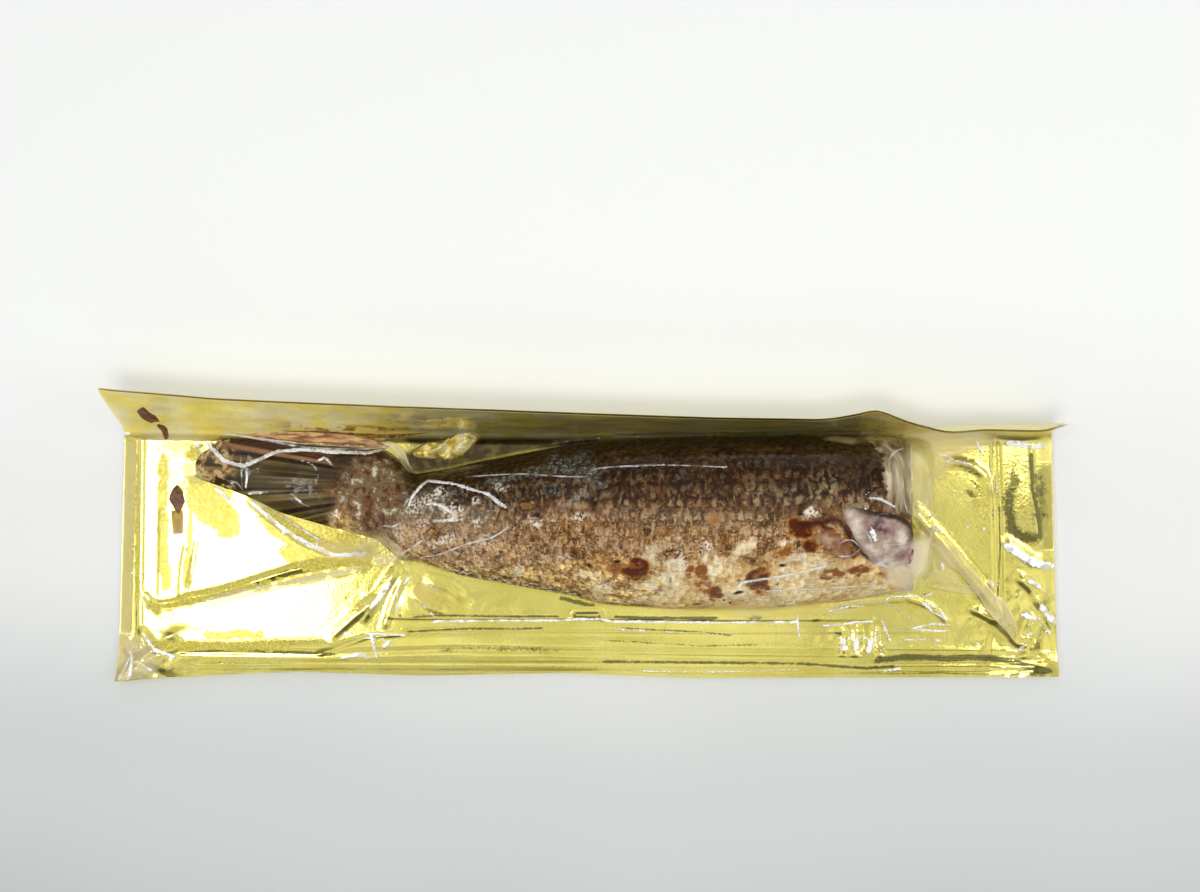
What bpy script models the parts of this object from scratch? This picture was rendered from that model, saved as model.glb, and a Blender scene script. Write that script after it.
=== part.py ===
"""A salted grey mullet without its head, vacuum sealed between a gold foil back and clear film.

X runs along the fish from its tail (-X) to its cut end (+X), its dark back faces +Y and the pack lies
on Z = 0. Two solids: foil_backing is the gold back sheet, flat on the floor with its long far edge
standing up, and sealed_bag is the closed bag on it, with the fish's form showing through the film.
"""

import math

import bmesh
import bpy
import numpy as np

MM = 0.001  # every length below is in millimetres

# The pouch
HALF_LENGTH = 194.5
FOIL_THICKNESS = 0.5
FILM_THICKNESS = 0.7
GAP = 0.3  # between the foil and the bag
FILM_OVERHANG = 1.2  # the clear film reaches past the foil at the cut end
FOOT_RADIUS = 7.0  # of the bend where the far edge turns up
STANDING_HEIGHT = 30.0
END_SEAL = 12.0  # width of the flat seal across each short end
NEAR_CURL_START = -37.0  # Y where the near margin begins to lift
TIP_FLARE = 3.0  # the far corner at the tail end leans outward by this
FLARE_LENGTH = 30.0
MIDDLE = (-0.9, 1.0)  # X and Y of the middle of the whole outline below, which becomes the origin

# Outlines of the pouch, as (X, value)
NEAR_EDGE_Y = ((-195, -58.5), (-150, -55.5), (-120, -54.5), (-70, -56), (-10, -55), (45, -57), (195, -56.5))
NEAR_CURL_HEIGHT = ((-195, 5.0), (-150, 3.0), (-60, 4.0), (60, 3.0), (195, 2.5))
FAR_FOOT_Y = ((-195, 46.5), (-150, 45.5), (-40, 44.5), (50, 44), (110, 44.5), (140, 48), (160, 50), (195, 49.5))
FAR_LEAN_DEG = (
    (-195, 25),
    (-150, 20),
    (-85, 16),
    (-40, 14),
    (50, 9),
    (95, 7),
    (116, 12),
    (131, -1),
    (145, -11),
    (185, -12),
    (195, -4),
)
FAR_EXTRA_HEIGHT = ((-195, 0), (100, 0), (116, 2.5), (130, 0), (195, -1))

# The fish under the film, as (X, value)
TAIL_TIP_X = -165.0
CUT_END_X = 140.0
BACK_Y = (
    (-165, 36),
    (-160, 43),
    (-148, 43.3),
    (-120, 41),
    (-84, 37.5),
    (-78, 33),
    (-73, 27.5),
    (-60, 29.5),
    (-44, 33.2),
    (-11, 39.3),
    (13, 42.2),
    (62, 43.6),
    (126, 43.8),
    (140, 41),
)
BELLY_Y = (
    (-165, 26.5),
    (-141, 17.6),
    (-128, 11.3),
    (-105, 4.7),
    (-88, 0.2),
    (-79, -8),
    (-70, -9),
    (-53, -14.7),
    (-6, -23),
    (5, -26.5),
    (35, -28.6),
    (76, -28.6),
    (107, -25.1),
    (140, -20),
)
TOP_Z = (
    (-165, 4.5),
    (-140, 7),
    (-110, 10),
    (-92, 14),
    (-75, 20),
    (-60, 26),
    (-40, 32),
    (-10, 39),
    (25, 43.5),
    (70, 45),
    (100, 44),
    (118, 41),
    (130, 37),
    (140, 29),
)
ROUNDNESS = ((-165, 6), (-110, 5), (-80, 3), (-50, 2.3), (140, 2.3))  # power of the cross-section's curve
SIDE_STEEPNESS = 0.62  # power that makes the film fall steeply at the sides
PEAK_SHIFT = 0.12  # the body is thickest a little toward its back
END_SLOPE = 6.0  # the film reaches the foil this far past the cut
TAIL_SLOPE = 4.5  # and this far past the tail
RELIEF_FADE = 12.0  # the ovals in relief fade where the film is lower than this
FILM_SKIRT = 0.8  # the film meets the foil this far outside the fish's outline

# Ovals in relief on the flank, as (X, Y, half length, half width, turn in degrees, height)
FLAP = (116.5, 0.5, 19.0, 11.0, -6.0, 3.2)  # loose flap of belly wall at the cut end
FILM_BLISTER = (-56.0, 6.5, 27.0, 12.5, 10.0, 1.6)  # pocket of film over the root of the tail
CUT_HOLLOW = (131.0, 23.0, 8.0, 13.0, 0.0, -6.0)  # the flesh sinks back behind the skin
OVAL_SLOPE = 0.62  # share of an oval's half size over which it rises

# Ridges where the film bridges from the fish to the foil, as ((X, Y, height), (X, Y, height), half width)
RIDGES = (
    ((142.0, 0.0, 10.0), (185.0, -41.0, 0.0), 11.0),
    ((140.0, -18.0, 8.0), (174.0, -25.0, 0.0), 9.0),
    ((-84.0, -7.0, 7.0), (-182.0, -42.0, 0.0), 10.0),
    ((-161.0, 30.0, 4.5), (-188.0, 14.0, 0.0), 9.0),
    ((-158.0, 40.0, 5.0), (-190.0, 38.0, 0.0), 10.0),
)
CREST_FALL = 1.5  # how fast a ridge's crest sinks as it leaves the fish

# How finely the surfaces are divided, as (X up to which, spacing) along and counts of strips across
STATION_SPACING = ((-75, 4.0), (90, 5.0), (HALF_LENGTH, 3.1))
MARGIN_SHARES = (0, 0.07, 0.14, 0.21)  # lines over the curled near margin, as shares of the flat base
NEAR_STRIPS = 7
FISH_STRIPS = 17
FAR_STRIPS = 2
BEND_STRIPS = 3
STANDING_STRIPS = 3
COARSE_ACROSS = (*MARGIN_SHARES, 1, 1.5, 2, 3)


def smooth_step(value):
    value = np.clip(value, 0, 1)
    return value * value * (3 - 2 * value)


def along(points, x, softness=3.0):
    """The value of an outline at each x, straight between its points with the corners rounded."""
    places, values = np.array(points, float).T
    shifts = np.linspace(-softness, softness, 9)
    weights = np.cos(shifts / softness * math.pi / 2) ** 2
    total = sum(w * np.interp(x + s, places, values) for s, w in zip(shifts, weights))
    return total / weights.sum()


def oval(x, y, centre_x, centre_y, half_length, half_width, turn, height):
    turn = math.radians(turn)
    dx, dy = x - centre_x, y - centre_y
    lengthwise = (dx * math.cos(turn) + dy * math.sin(turn)) / half_length
    crosswise = (-dx * math.sin(turn) + dy * math.cos(turn)) / half_width
    return height * smooth_step((1 - np.hypot(lengthwise, crosswise)) / OVAL_SLOPE)


def ridge(x, y, start, end, half_width):
    """A film ridge: straight along its crest, hollow on both sides."""
    (x0, y0, z0), (x1, y1, z1) = start, end
    length_squared = (x1 - x0) ** 2 + (y1 - y0) ** 2
    share = np.clip(((x - x0) * (x1 - x0) + (y - y0) * (y1 - y0)) / length_squared, 0, 1)
    distance = np.hypot(x - x0 - share * (x1 - x0), y - y0 - share * (y1 - y0))
    crest = z1 + (z0 - z1) * (1 - share) ** CREST_FALL
    return crest * np.cos(np.clip(distance / half_width, 0, 1) * math.pi / 2) ** 2


def body_height(x, y):
    """Height of the film over the fish, before the small relief."""
    back, belly = along(BACK_Y, x), along(BELLY_Y, x)
    half = (back - belly) / 2 + FILM_SKIRT
    side = np.clip((y - (back + belly) / 2) / half, -1, 1)
    side = side - PEAK_SHIFT * (1 - side * side)
    rounded = np.clip(1 - np.abs(side) ** along(ROUNDNESS, x), 0, 1) ** SIDE_STEEPNESS
    short_of_cut = smooth_step((CUT_END_X + END_SLOPE - x) / (1.5 * END_SLOPE))
    past_tail = smooth_step((x - TAIL_TIP_X + TAIL_SLOPE) / TAIL_SLOPE)
    return along(TOP_Z, x) * rounded * short_of_cut * past_tail


def film_height(x, y):
    """Height of the film above the floor, wherever something lifts it off the foil."""
    body = body_height(x, y)
    on_body = smooth_step(body / RELIEF_FADE)
    for shape in (FLAP, FILM_BLISTER, CUT_HOLLOW):
        body = body + oval(x, y, *shape) * on_body
    for start, end, half_width in RIDGES:
        body = np.maximum(body, ridge(x, y, start, end, half_width))
    inside_seals = smooth_step((HALF_LENGTH - END_SEAL / 2 - np.abs(x)) / END_SEAL)
    return body * inside_seals


def standing_angle(x):
    """Angle of the standing edge from the floor."""
    return math.radians(90) - np.radians(along(FAR_LEAN_DEG, x, 8))


def base_end_y(x):
    """Y where the flat base ends and the bend begins."""
    return along(FAR_FOOT_Y, x) - FOOT_RADIUS * np.tan(standing_angle(x) / 2)


def foil_section(x, across):
    """Centre line of the foil at X: across runs 0 to 1 over the base, to 2 round the bend, to 3 up."""
    near, base_end, rise = along(NEAR_EDGE_Y, x), base_end_y(x), standing_angle(x)
    on_base, on_bend, on_wall = (np.clip(across - k, 0, 1) for k in range(3))
    wall_height = STANDING_HEIGHT + along(FAR_EXTRA_HEIGHT, x) - FOOT_RADIUS * (1 - np.cos(rise))
    wall = wall_height / np.sin(rise) * on_wall
    angle = rise * on_bend
    y = near + (base_end - near) * on_base + FOOT_RADIUS * np.sin(angle) + wall * np.cos(rise)
    z = FOOT_RADIUS * (1 - np.cos(angle)) + wall * np.sin(rise)
    curl = np.clip((NEAR_CURL_START - y) / (NEAR_CURL_START - near), 0, 1)
    lift = along(NEAR_CURL_HEIGHT, x)
    slope = np.where(across < 1, -2 * lift * curl / (NEAR_CURL_START - near), 0)
    normal = np.stack([-np.sin(angle) - slope, np.cos(angle)], axis=-1)
    normal /= np.linalg.norm(normal, axis=-1, keepdims=True)
    return y, z + lift * curl ** 2, normal


def stations():
    places = [-HALF_LENGTH]
    for end, spacing in STATION_SPACING:
        count = round((end - places[-1]) / spacing)
        places += list(np.linspace(places[-1], end, count + 1)[1:])
    return np.array(places)


def fine_across(x):
    """Places of the film's lines at each station, drawn so that two of them follow the fish's outline."""
    near, base_end = along(NEAR_EDGE_Y, x), base_end_y(x)
    belly = along(BELLY_Y, x) - FILM_SKIRT
    back = np.minimum(along(BACK_Y, x) + FILM_SKIRT, base_end - 1)
    margin_end = near + MARGIN_SHARES[-1] * (base_end - near)
    evenly = np.arange(FISH_STRIPS) / FISH_STRIPS
    toward_edges = (1 - np.cos(evenly * math.pi)) / 2
    shares = (
        (near, base_end, np.array(MARGIN_SHARES[:-1])),
        (margin_end, belly, np.arange(NEAR_STRIPS) / NEAR_STRIPS),
        (belly, back, 0.5 * evenly + 0.5 * toward_edges),
        (back, base_end, np.arange(FAR_STRIPS) / FAR_STRIPS),
    )
    lines = [start[:, None] + (end - start)[:, None] * share for start, end, share in shares]
    on_base = (np.concatenate(lines, axis=1) - near[:, None]) / (base_end - near)[:, None]
    beyond = np.concatenate([
        1 + np.arange(BEND_STRIPS) / BEND_STRIPS,
        2 + np.arange(STANDING_STRIPS + 1) / STANDING_STRIPS,
    ])
    return np.concatenate([on_base, np.tile(beyond, (len(x), 1))], axis=1)


def sheet(across, offset, overhang=0.0):
    """Points at a distance from the foil's centre line, for places given once or station by station."""
    x = stations()
    across = np.broadcast_to(np.array(across, float), (len(x), np.shape(across)[-1]))
    x = np.broadcast_to(x[:, None], across.shape)
    y, z, normal = foil_section(x, across)
    y = y + normal[..., 0] * offset
    z = z + normal[..., 1] * offset + FOIL_THICKNESS / 2
    toward_tip = smooth_step((FLARE_LENGTH - HALF_LENGTH - x) / FLARE_LENGTH)
    flare = TIP_FLARE * smooth_step(z / STANDING_HEIGHT) * toward_tip
    reach = overhang * smooth_step((x - HALF_LENGTH + END_SEAL) / END_SEAL)
    return np.stack([x - flare + reach, y, z], axis=-1)


def zipped(near_row, far_row, near_places, far_places):
    """Triangles between two rows of point numbers that end together but differ in count."""
    triangles = []
    i = j = 0
    while i < len(near_row) - 1 or j < len(far_row) - 1:
        far_done = j == len(far_row) - 1
        near_done = i == len(near_row) - 1
        if far_done or (not near_done and near_places[i + 1] <= far_places[j + 1]):
            triangles.append((near_row[i], near_row[i + 1], far_row[j]))
            i += 1
        else:
            triangles.append((near_row[i], far_row[j + 1], far_row[j]))
            j += 1
    return triangles


def length_along(points):
    """Distance from the first point to each point, as a share of the whole."""
    steps = np.linalg.norm(np.diff(points, axis=0), axis=1)
    return np.concatenate([[0], np.cumsum(steps)]) / steps.sum()


def closed_solid(name, lower, upper, material):
    """One closed body between two sheets of points that share their stations."""
    low = np.arange(lower[..., 0].size).reshape(lower.shape[:2])
    high = np.arange(upper[..., 0].size).reshape(upper.shape[:2]) + low.size
    faces = []
    for i in range(len(low) - 1):
        for rows, upward in ((low, False), (high, True)):
            for j in range(rows.shape[1] - 1):
                a, b, c, d = rows[i, j], rows[i + 1, j], rows[i + 1, j + 1], rows[i, j + 1]
                faces += [(a, b, c), (a, c, d)] if upward else [(c, b, a), (d, c, a)]
        for j, reverse in ((0, False), (-1, True)):
            a, b, c, d = low[i, j], low[i + 1, j], high[i + 1, j], high[i, j]
            faces += [(c, b, a), (d, c, a)] if reverse else [(a, b, c), (a, c, d)]
    for i, reverse in ((-1, False), (0, True)):
        for triangle in zipped(low[i], high[i], length_along(lower[i]), length_along(upper[i])):
            faces.append(triangle[::-1] if reverse else triangle)
    points = np.concatenate([lower.reshape(-1, 3), upper.reshape(-1, 3)])
    points = (points - (*MIDDLE, 0)) * MM
    mesh = bpy.data.meshes.new(name)
    mesh.from_pydata(points.tolist(), [], [[int(n) for n in face] for face in faces])
    outward_normals(mesh)
    mesh.shade_smooth()
    mesh.materials.append(material)
    solid = bpy.data.objects.new(name, mesh)
    bpy.context.scene.collection.objects.link(solid)
    return solid


def outward_normals(mesh):
    work = bmesh.new()
    work.from_mesh(mesh)
    bmesh.ops.recalc_face_normals(work, faces=work.faces)
    work.to_mesh(mesh)
    work.free()


def plain_material(name, colour, roughness, metallic):
    material = bpy.data.materials.new(name)
    material.use_nodes = True
    surface = material.node_tree.nodes["Principled BSDF"]
    surface.inputs["Base Color"].default_value = (*colour, 1)
    surface.inputs["Roughness"].default_value = roughness
    surface.inputs["Metallic"].default_value = metallic
    return material


def make_foil_backing():
    half = FOIL_THICKNESS / 2
    gold = plain_material("gold_foil", (0.62, 0.52, 0.12), 0.12, 1.0)
    return closed_solid("foil_backing", sheet(COARSE_ACROSS, -half), sheet(COARSE_ACROSS, half), gold)


def make_sealed_bag():
    above_foil = FOIL_THICKNESS / 2 + GAP
    under = sheet(COARSE_ACROSS, above_foil, FILM_OVERHANG)
    film = sheet(fine_across(stations()), above_foil + FILM_THICKNESS, FILM_OVERHANG)
    film[..., 2] = np.maximum(film[..., 2], film_height(film[..., 0], film[..., 1]))
    skin = plain_material("fish_under_film", (0.13, 0.085, 0.06), 0.25, 0.0)
    return closed_solid("sealed_bag", under, film, skin)


def clear_scene():
    for item in list(bpy.data.objects):
        bpy.data.objects.remove(item, do_unlink=True)


def main():
    clear_scene()
    make_foil_backing()
    make_sealed_bag()


main()
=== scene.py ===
"""Looks of the vacuum packed salted grey mullet: gold foil, clear film, fish, floor, light, camera."""

import math

import bmesh
import bpy
import numpy as np
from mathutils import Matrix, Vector


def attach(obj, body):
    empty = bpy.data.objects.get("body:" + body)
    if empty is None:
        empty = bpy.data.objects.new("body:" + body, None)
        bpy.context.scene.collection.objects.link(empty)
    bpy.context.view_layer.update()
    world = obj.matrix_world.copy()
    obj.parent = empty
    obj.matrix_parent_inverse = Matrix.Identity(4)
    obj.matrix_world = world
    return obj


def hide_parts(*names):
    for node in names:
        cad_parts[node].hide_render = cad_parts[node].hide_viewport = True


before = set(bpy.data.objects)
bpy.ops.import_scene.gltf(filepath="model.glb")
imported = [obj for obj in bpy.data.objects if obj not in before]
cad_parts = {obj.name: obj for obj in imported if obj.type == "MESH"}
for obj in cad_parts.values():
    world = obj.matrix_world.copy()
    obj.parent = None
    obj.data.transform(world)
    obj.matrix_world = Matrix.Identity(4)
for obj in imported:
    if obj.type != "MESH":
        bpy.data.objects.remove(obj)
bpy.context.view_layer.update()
MM = 0.001  # lengths below are in millimetres, but in metres in the materials and on the stage
FAR = 1e9
WELD_DISTANCE = 1e-7  # metres

# The pouch, as in the CAD source
HALF_LENGTH = 194.5
FOIL_THICKNESS = 0.5
FILM_OVERHANG = 1.2
FOOT_RADIUS = 7.0
STANDING_HEIGHT = 30.0
END_SEAL = 12.0
NEAR_CURL_START = -37.0
TIP_FLARE = 3.0
FLARE_LENGTH = 30.0
MIDDLE = (-0.9, 1.0)
NEAR_EDGE_Y = ((-195, -58.5), (-150, -55.5), (-120, -54.5), (-70, -56), (-10, -55), (45, -57), (195, -56.5))
NEAR_CURL_HEIGHT = ((-195, 5.0), (-150, 3.0), (-60, 4.0), (60, 3.0), (195, 2.5))
FAR_FOOT_Y = ((-195, 46.5), (-150, 45.5), (-40, 44.5), (50, 44), (110, 44.5), (140, 48), (160, 50), (195, 49.5))
FAR_LEAN_DEG = (
    (-195, 25), (-150, 20), (-85, 16), (-40, 14), (50, 9), (95, 7), (116, 12), (131, -1), (145, -11),
    (185, -12), (195, -4),
)
FAR_EXTRA_HEIGHT = ((-195, 0), (100, 0), (116, 2.5), (130, 0), (195, -1))

# The fish under the film, as in the CAD source
TAIL_TIP_X = -165.0
CUT_END_X = 140.0
BACK_Y = (
    (-165, 36), (-160, 43), (-148, 43.3), (-120, 41), (-84, 37.5), (-78, 33), (-73, 27.5), (-60, 29.5),
    (-44, 33.2), (-11, 39.3), (13, 42.2), (62, 43.6), (126, 43.8), (140, 41),
)
BELLY_Y = (
    (-165, 26.5), (-141, 17.6), (-128, 11.3), (-105, 4.7), (-88, 0.2), (-79, -8), (-70, -9), (-53, -14.7),
    (-6, -23), (5, -26.5), (35, -28.6), (76, -28.6), (107, -25.1), (140, -20),
)
TOP_Z = (
    (-165, 4.5), (-140, 7), (-110, 10), (-92, 14), (-75, 20), (-60, 26), (-40, 32), (-10, 39), (25, 43.5),
    (70, 45), (100, 44), (118, 41), (130, 37), (140, 29),
)
ROUNDNESS = ((-165, 6), (-110, 5), (-80, 3), (-50, 2.3), (140, 2.3))
SIDE_STEEPNESS = 0.62
PEAK_SHIFT = 0.12
END_SLOPE = 6.0
TAIL_SLOPE = 4.5
RELIEF_FADE = 12.0
FILM_SKIRT = 0.8
OVAL_SLOPE = 0.62
FLAP = (116.5, 0.5, 19.0, 11.0, -6.0, 3.2)
FILM_BLISTER = (-56.0, 6.5, 27.0, 12.5, 10.0, 1.6)
CUT_HOLLOW = (131.0, 23.0, 8.0, 13.0, 0.0, -6.0)
RIDGES = (
    ((142.0, 0.0, 10.0), (185.0, -41.0, 0.0), 11.0),
    ((140.0, -18.0, 8.0), (174.0, -25.0, 0.0), 9.0),
    ((-84.0, -7.0, 7.0), (-182.0, -42.0, 0.0), 10.0),
    ((-161.0, 30.0, 4.5), (-188.0, 14.0, 0.0), 9.0),
    ((-158.0, 40.0, 5.0), (-190.0, 38.0, 0.0), 10.0),
)
CREST_FALL = 1.5

# Offsets from the surface that the sheets follow, and where along the sheet its bend starts
FOIL_FACE = FOIL_THICKNESS / 2 - 0.15
FOIL_BACK = FOIL_THICKNESS / 2 - 0.30
FOIL_SUNK = 0.17
FILM_LEVEL = FOIL_THICKNESS / 2 + 0.5
FLAKE_BACK = FOIL_THICKNESS / 2 + 0.40
FLAKE_FACE = FOIL_THICKNESS / 2 + 0.55
BEND_INSET = 0.35
SHEET_LOWEST = 0.08
BEND_STARTS = 47

MOST_HAZE = 0.95
FOLD_WARMTH = 0.30
BIT_GRID = (10, 40)  # rings and spokes of a small bit


def smooth_step(value):
    value = np.clip(value, 0, 1)
    return value * value * (3 - 2 * value)


def along(points, x, softness=3.0):
    places, values = np.array(points, float).T
    shifts = np.linspace(-softness, softness, 9)
    weights = np.cos(shifts / softness * math.pi / 2) ** 2
    total = sum(w * np.interp(x + s, places, values) for s, w in zip(shifts, weights))
    return total / weights.sum()


def oval(x, y, centre_x, centre_y, half_length, half_width, turn, height, slope=OVAL_SLOPE):
    turn = math.radians(turn)
    dx, dy = x - centre_x, y - centre_y
    lengthwise = (dx * math.cos(turn) + dy * math.sin(turn)) / half_length
    crosswise = (-dx * math.sin(turn) + dy * math.cos(turn)) / half_width
    return height * smooth_step((1 - np.hypot(lengthwise, crosswise)) / slope)


def ridge(x, y, start, end, half_width):
    (x0, y0, z0), (x1, y1, z1) = start, end
    length_squared = (x1 - x0) ** 2 + (y1 - y0) ** 2
    share = np.clip(((x - x0) * (x1 - x0) + (y - y0) * (y1 - y0)) / length_squared, 0, 1)
    distance = np.hypot(x - x0 - share * (x1 - x0), y - y0 - share * (y1 - y0))
    crest = z1 + (z0 - z1) * (1 - share) ** CREST_FALL
    return crest * np.cos(np.clip(distance / half_width, 0, 1) * math.pi / 2) ** 2


def body_height(x, y, skirt=FILM_SKIRT):
    back, belly = along(BACK_Y, x), along(BELLY_Y, x)
    half = (back - belly) / 2 + skirt
    side = np.clip((y - (back + belly) / 2) / half, -1, 1)
    side = side - PEAK_SHIFT * (1 - side * side)
    rounded = np.clip(1 - np.abs(side) ** along(ROUNDNESS, x), 0, 1) ** SIDE_STEEPNESS
    short_of_cut = smooth_step((CUT_END_X + END_SLOPE - x) / (1.5 * END_SLOPE))
    past_tail = smooth_step((x - TAIL_TIP_X + TAIL_SLOPE) / TAIL_SLOPE)
    return along(TOP_Z, x) * rounded * short_of_cut * past_tail


def tent_height(x, y):
    height = np.zeros_like(x)
    for start, end, half_width in RIDGES:
        height = np.maximum(height, ridge(x, y, start, end, half_width))
    return height


def inside_seals(x):
    return smooth_step((HALF_LENGTH - END_SEAL / 2 - np.abs(x)) / END_SEAL)


def film_height(x, y):
    body = body_height(x, y)
    on_body = smooth_step(body / RELIEF_FADE)
    for shape in (FLAP, FILM_BLISTER, CUT_HOLLOW):
        body = body + oval(x, y, *shape) * on_body
    return np.maximum(body, tent_height(x, y)) * inside_seals(x)


def standing_angle(x):
    return math.radians(90) - np.radians(along(FAR_LEAN_DEG, x, 8))


def base_end_y(x):
    return along(FAR_FOOT_Y, x) - FOOT_RADIUS * np.tan(standing_angle(x) / 2)


# Seeded noise, the same in every run
def lattice(i, j, seed):
    n = (i.astype(np.int64) * 374761393 + j.astype(np.int64) * 668265263 + seed * 1442695041) & 0xFFFFFFFF
    n = ((n ^ (n >> 13)) * 1274126177) & 0xFFFFFFFF
    return ((n ^ (n >> 16)) & 0xFFFF) / 32767.5 - 1


def noise(x, y, seed):
    i, j = np.floor(x), np.floor(y)
    u, v = smooth_step(x - i), smooth_step(y - j)
    low = lattice(i, j, seed) * (1 - u) + lattice(i + 1, j, seed) * u
    high = lattice(i, j + 1, seed) * (1 - u) + lattice(i + 1, j + 1, seed) * u
    return low * (1 - v) + high * v


def layered_noise(x, y, size, layers, seed):
    total, weight = 0, 1.0
    for k in range(layers):
        total = total + weight * noise(x / size + 17.3 * k, y / size - 9.1 * k, seed + k)
        size, weight = size / 2.1, weight / 2
    return total / (2 - 2 * weight)


def facets(x, y, size, seed):
    """Crumpled sheet: flat triangles between the random heights of a bent lattice."""
    x = x / size + 0.45 * noise(x / size * 0.7, y / size * 0.7, seed + 5)
    y = y / size + 0.45 * noise(x * 0.9 + 40, y / size * 0.7, seed + 6)
    i, j = np.floor(x), np.floor(y)
    u, v = x - i, y - j
    a, b = lattice(i, j, seed), lattice(i + 1, j + 1, seed)
    c, d = lattice(i + 1, j, seed), lattice(i, j + 1, seed)
    return np.where(u > v, a + (c - a) * u + (b - c) * v, a + (b - d) * u + (d - a) * v)


def nearest(x, y, points, reach):
    """Near a polyline: mask of the places, distance from it, distance from its nearer end, side."""
    points = np.array(points, float)
    low, high = points.min(0) - reach, points.max(0) + reach
    near = (x > low[0]) & (x < high[0]) & (y > low[1]) & (y < high[1])
    px, py = x[near], y[near]
    steps = np.hypot(*np.diff(points, axis=0).T)
    reached, total = 0.0, steps.sum()
    best, place, side = np.full(px.shape, FAR), np.zeros(px.shape), np.zeros(px.shape)
    for (x0, y0), (x1, y1), length in zip(points[:-1], points[1:], steps):
        share = np.clip(((px - x0) * (x1 - x0) + (py - y0) * (y1 - y0)) / length ** 2, 0, 1)
        dx, dy = px - x0 - share * (x1 - x0), py - y0 - share * (y1 - y0)
        distance = np.hypot(dx, dy)
        closer = distance < best
        best = np.where(closer, distance, best)
        place = np.where(closer, (reached + share * length) / total, place)
        side = np.where(closer, np.sign(dx * (y1 - y0) - dy * (x1 - x0)), side)
        reached += length
    return near, best, np.minimum(place, 1 - place) * total, side


def stroke(x, y, points, width, height):
    """A soft line in relief that fades toward its ends."""
    near, distance, from_end, _ = nearest(x, y, points, 3 * width)
    field = np.zeros(x.shape)
    field[near] = height * np.exp(-((distance / width) ** 2)) * np.clip(from_end / (2.5 * width), 0.15, 1)
    return field


def fold(x, y, points, width, height, rise=1.0):
    """A fold with flat faces on both sides of its crease, one of them wider by a factor."""
    near, distance, from_end, side = nearest(x, y, points, width * max(rise, 1))
    reach = width * np.where(side > 0, rise, 1.0)
    field = np.zeros(x.shape)
    field[near] = height * np.clip(1 - distance / reach, 0, 1) * np.clip(from_end / (1.2 * width), 0.0, 1)
    return field


def lines_field(x, t, lines):
    """The strongest of several soft lines at each place."""
    field = np.zeros(x.shape)
    for points, width, strength in lines:
        field = np.maximum(field, stroke(x, t, points, width, strength))
    return field


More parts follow.
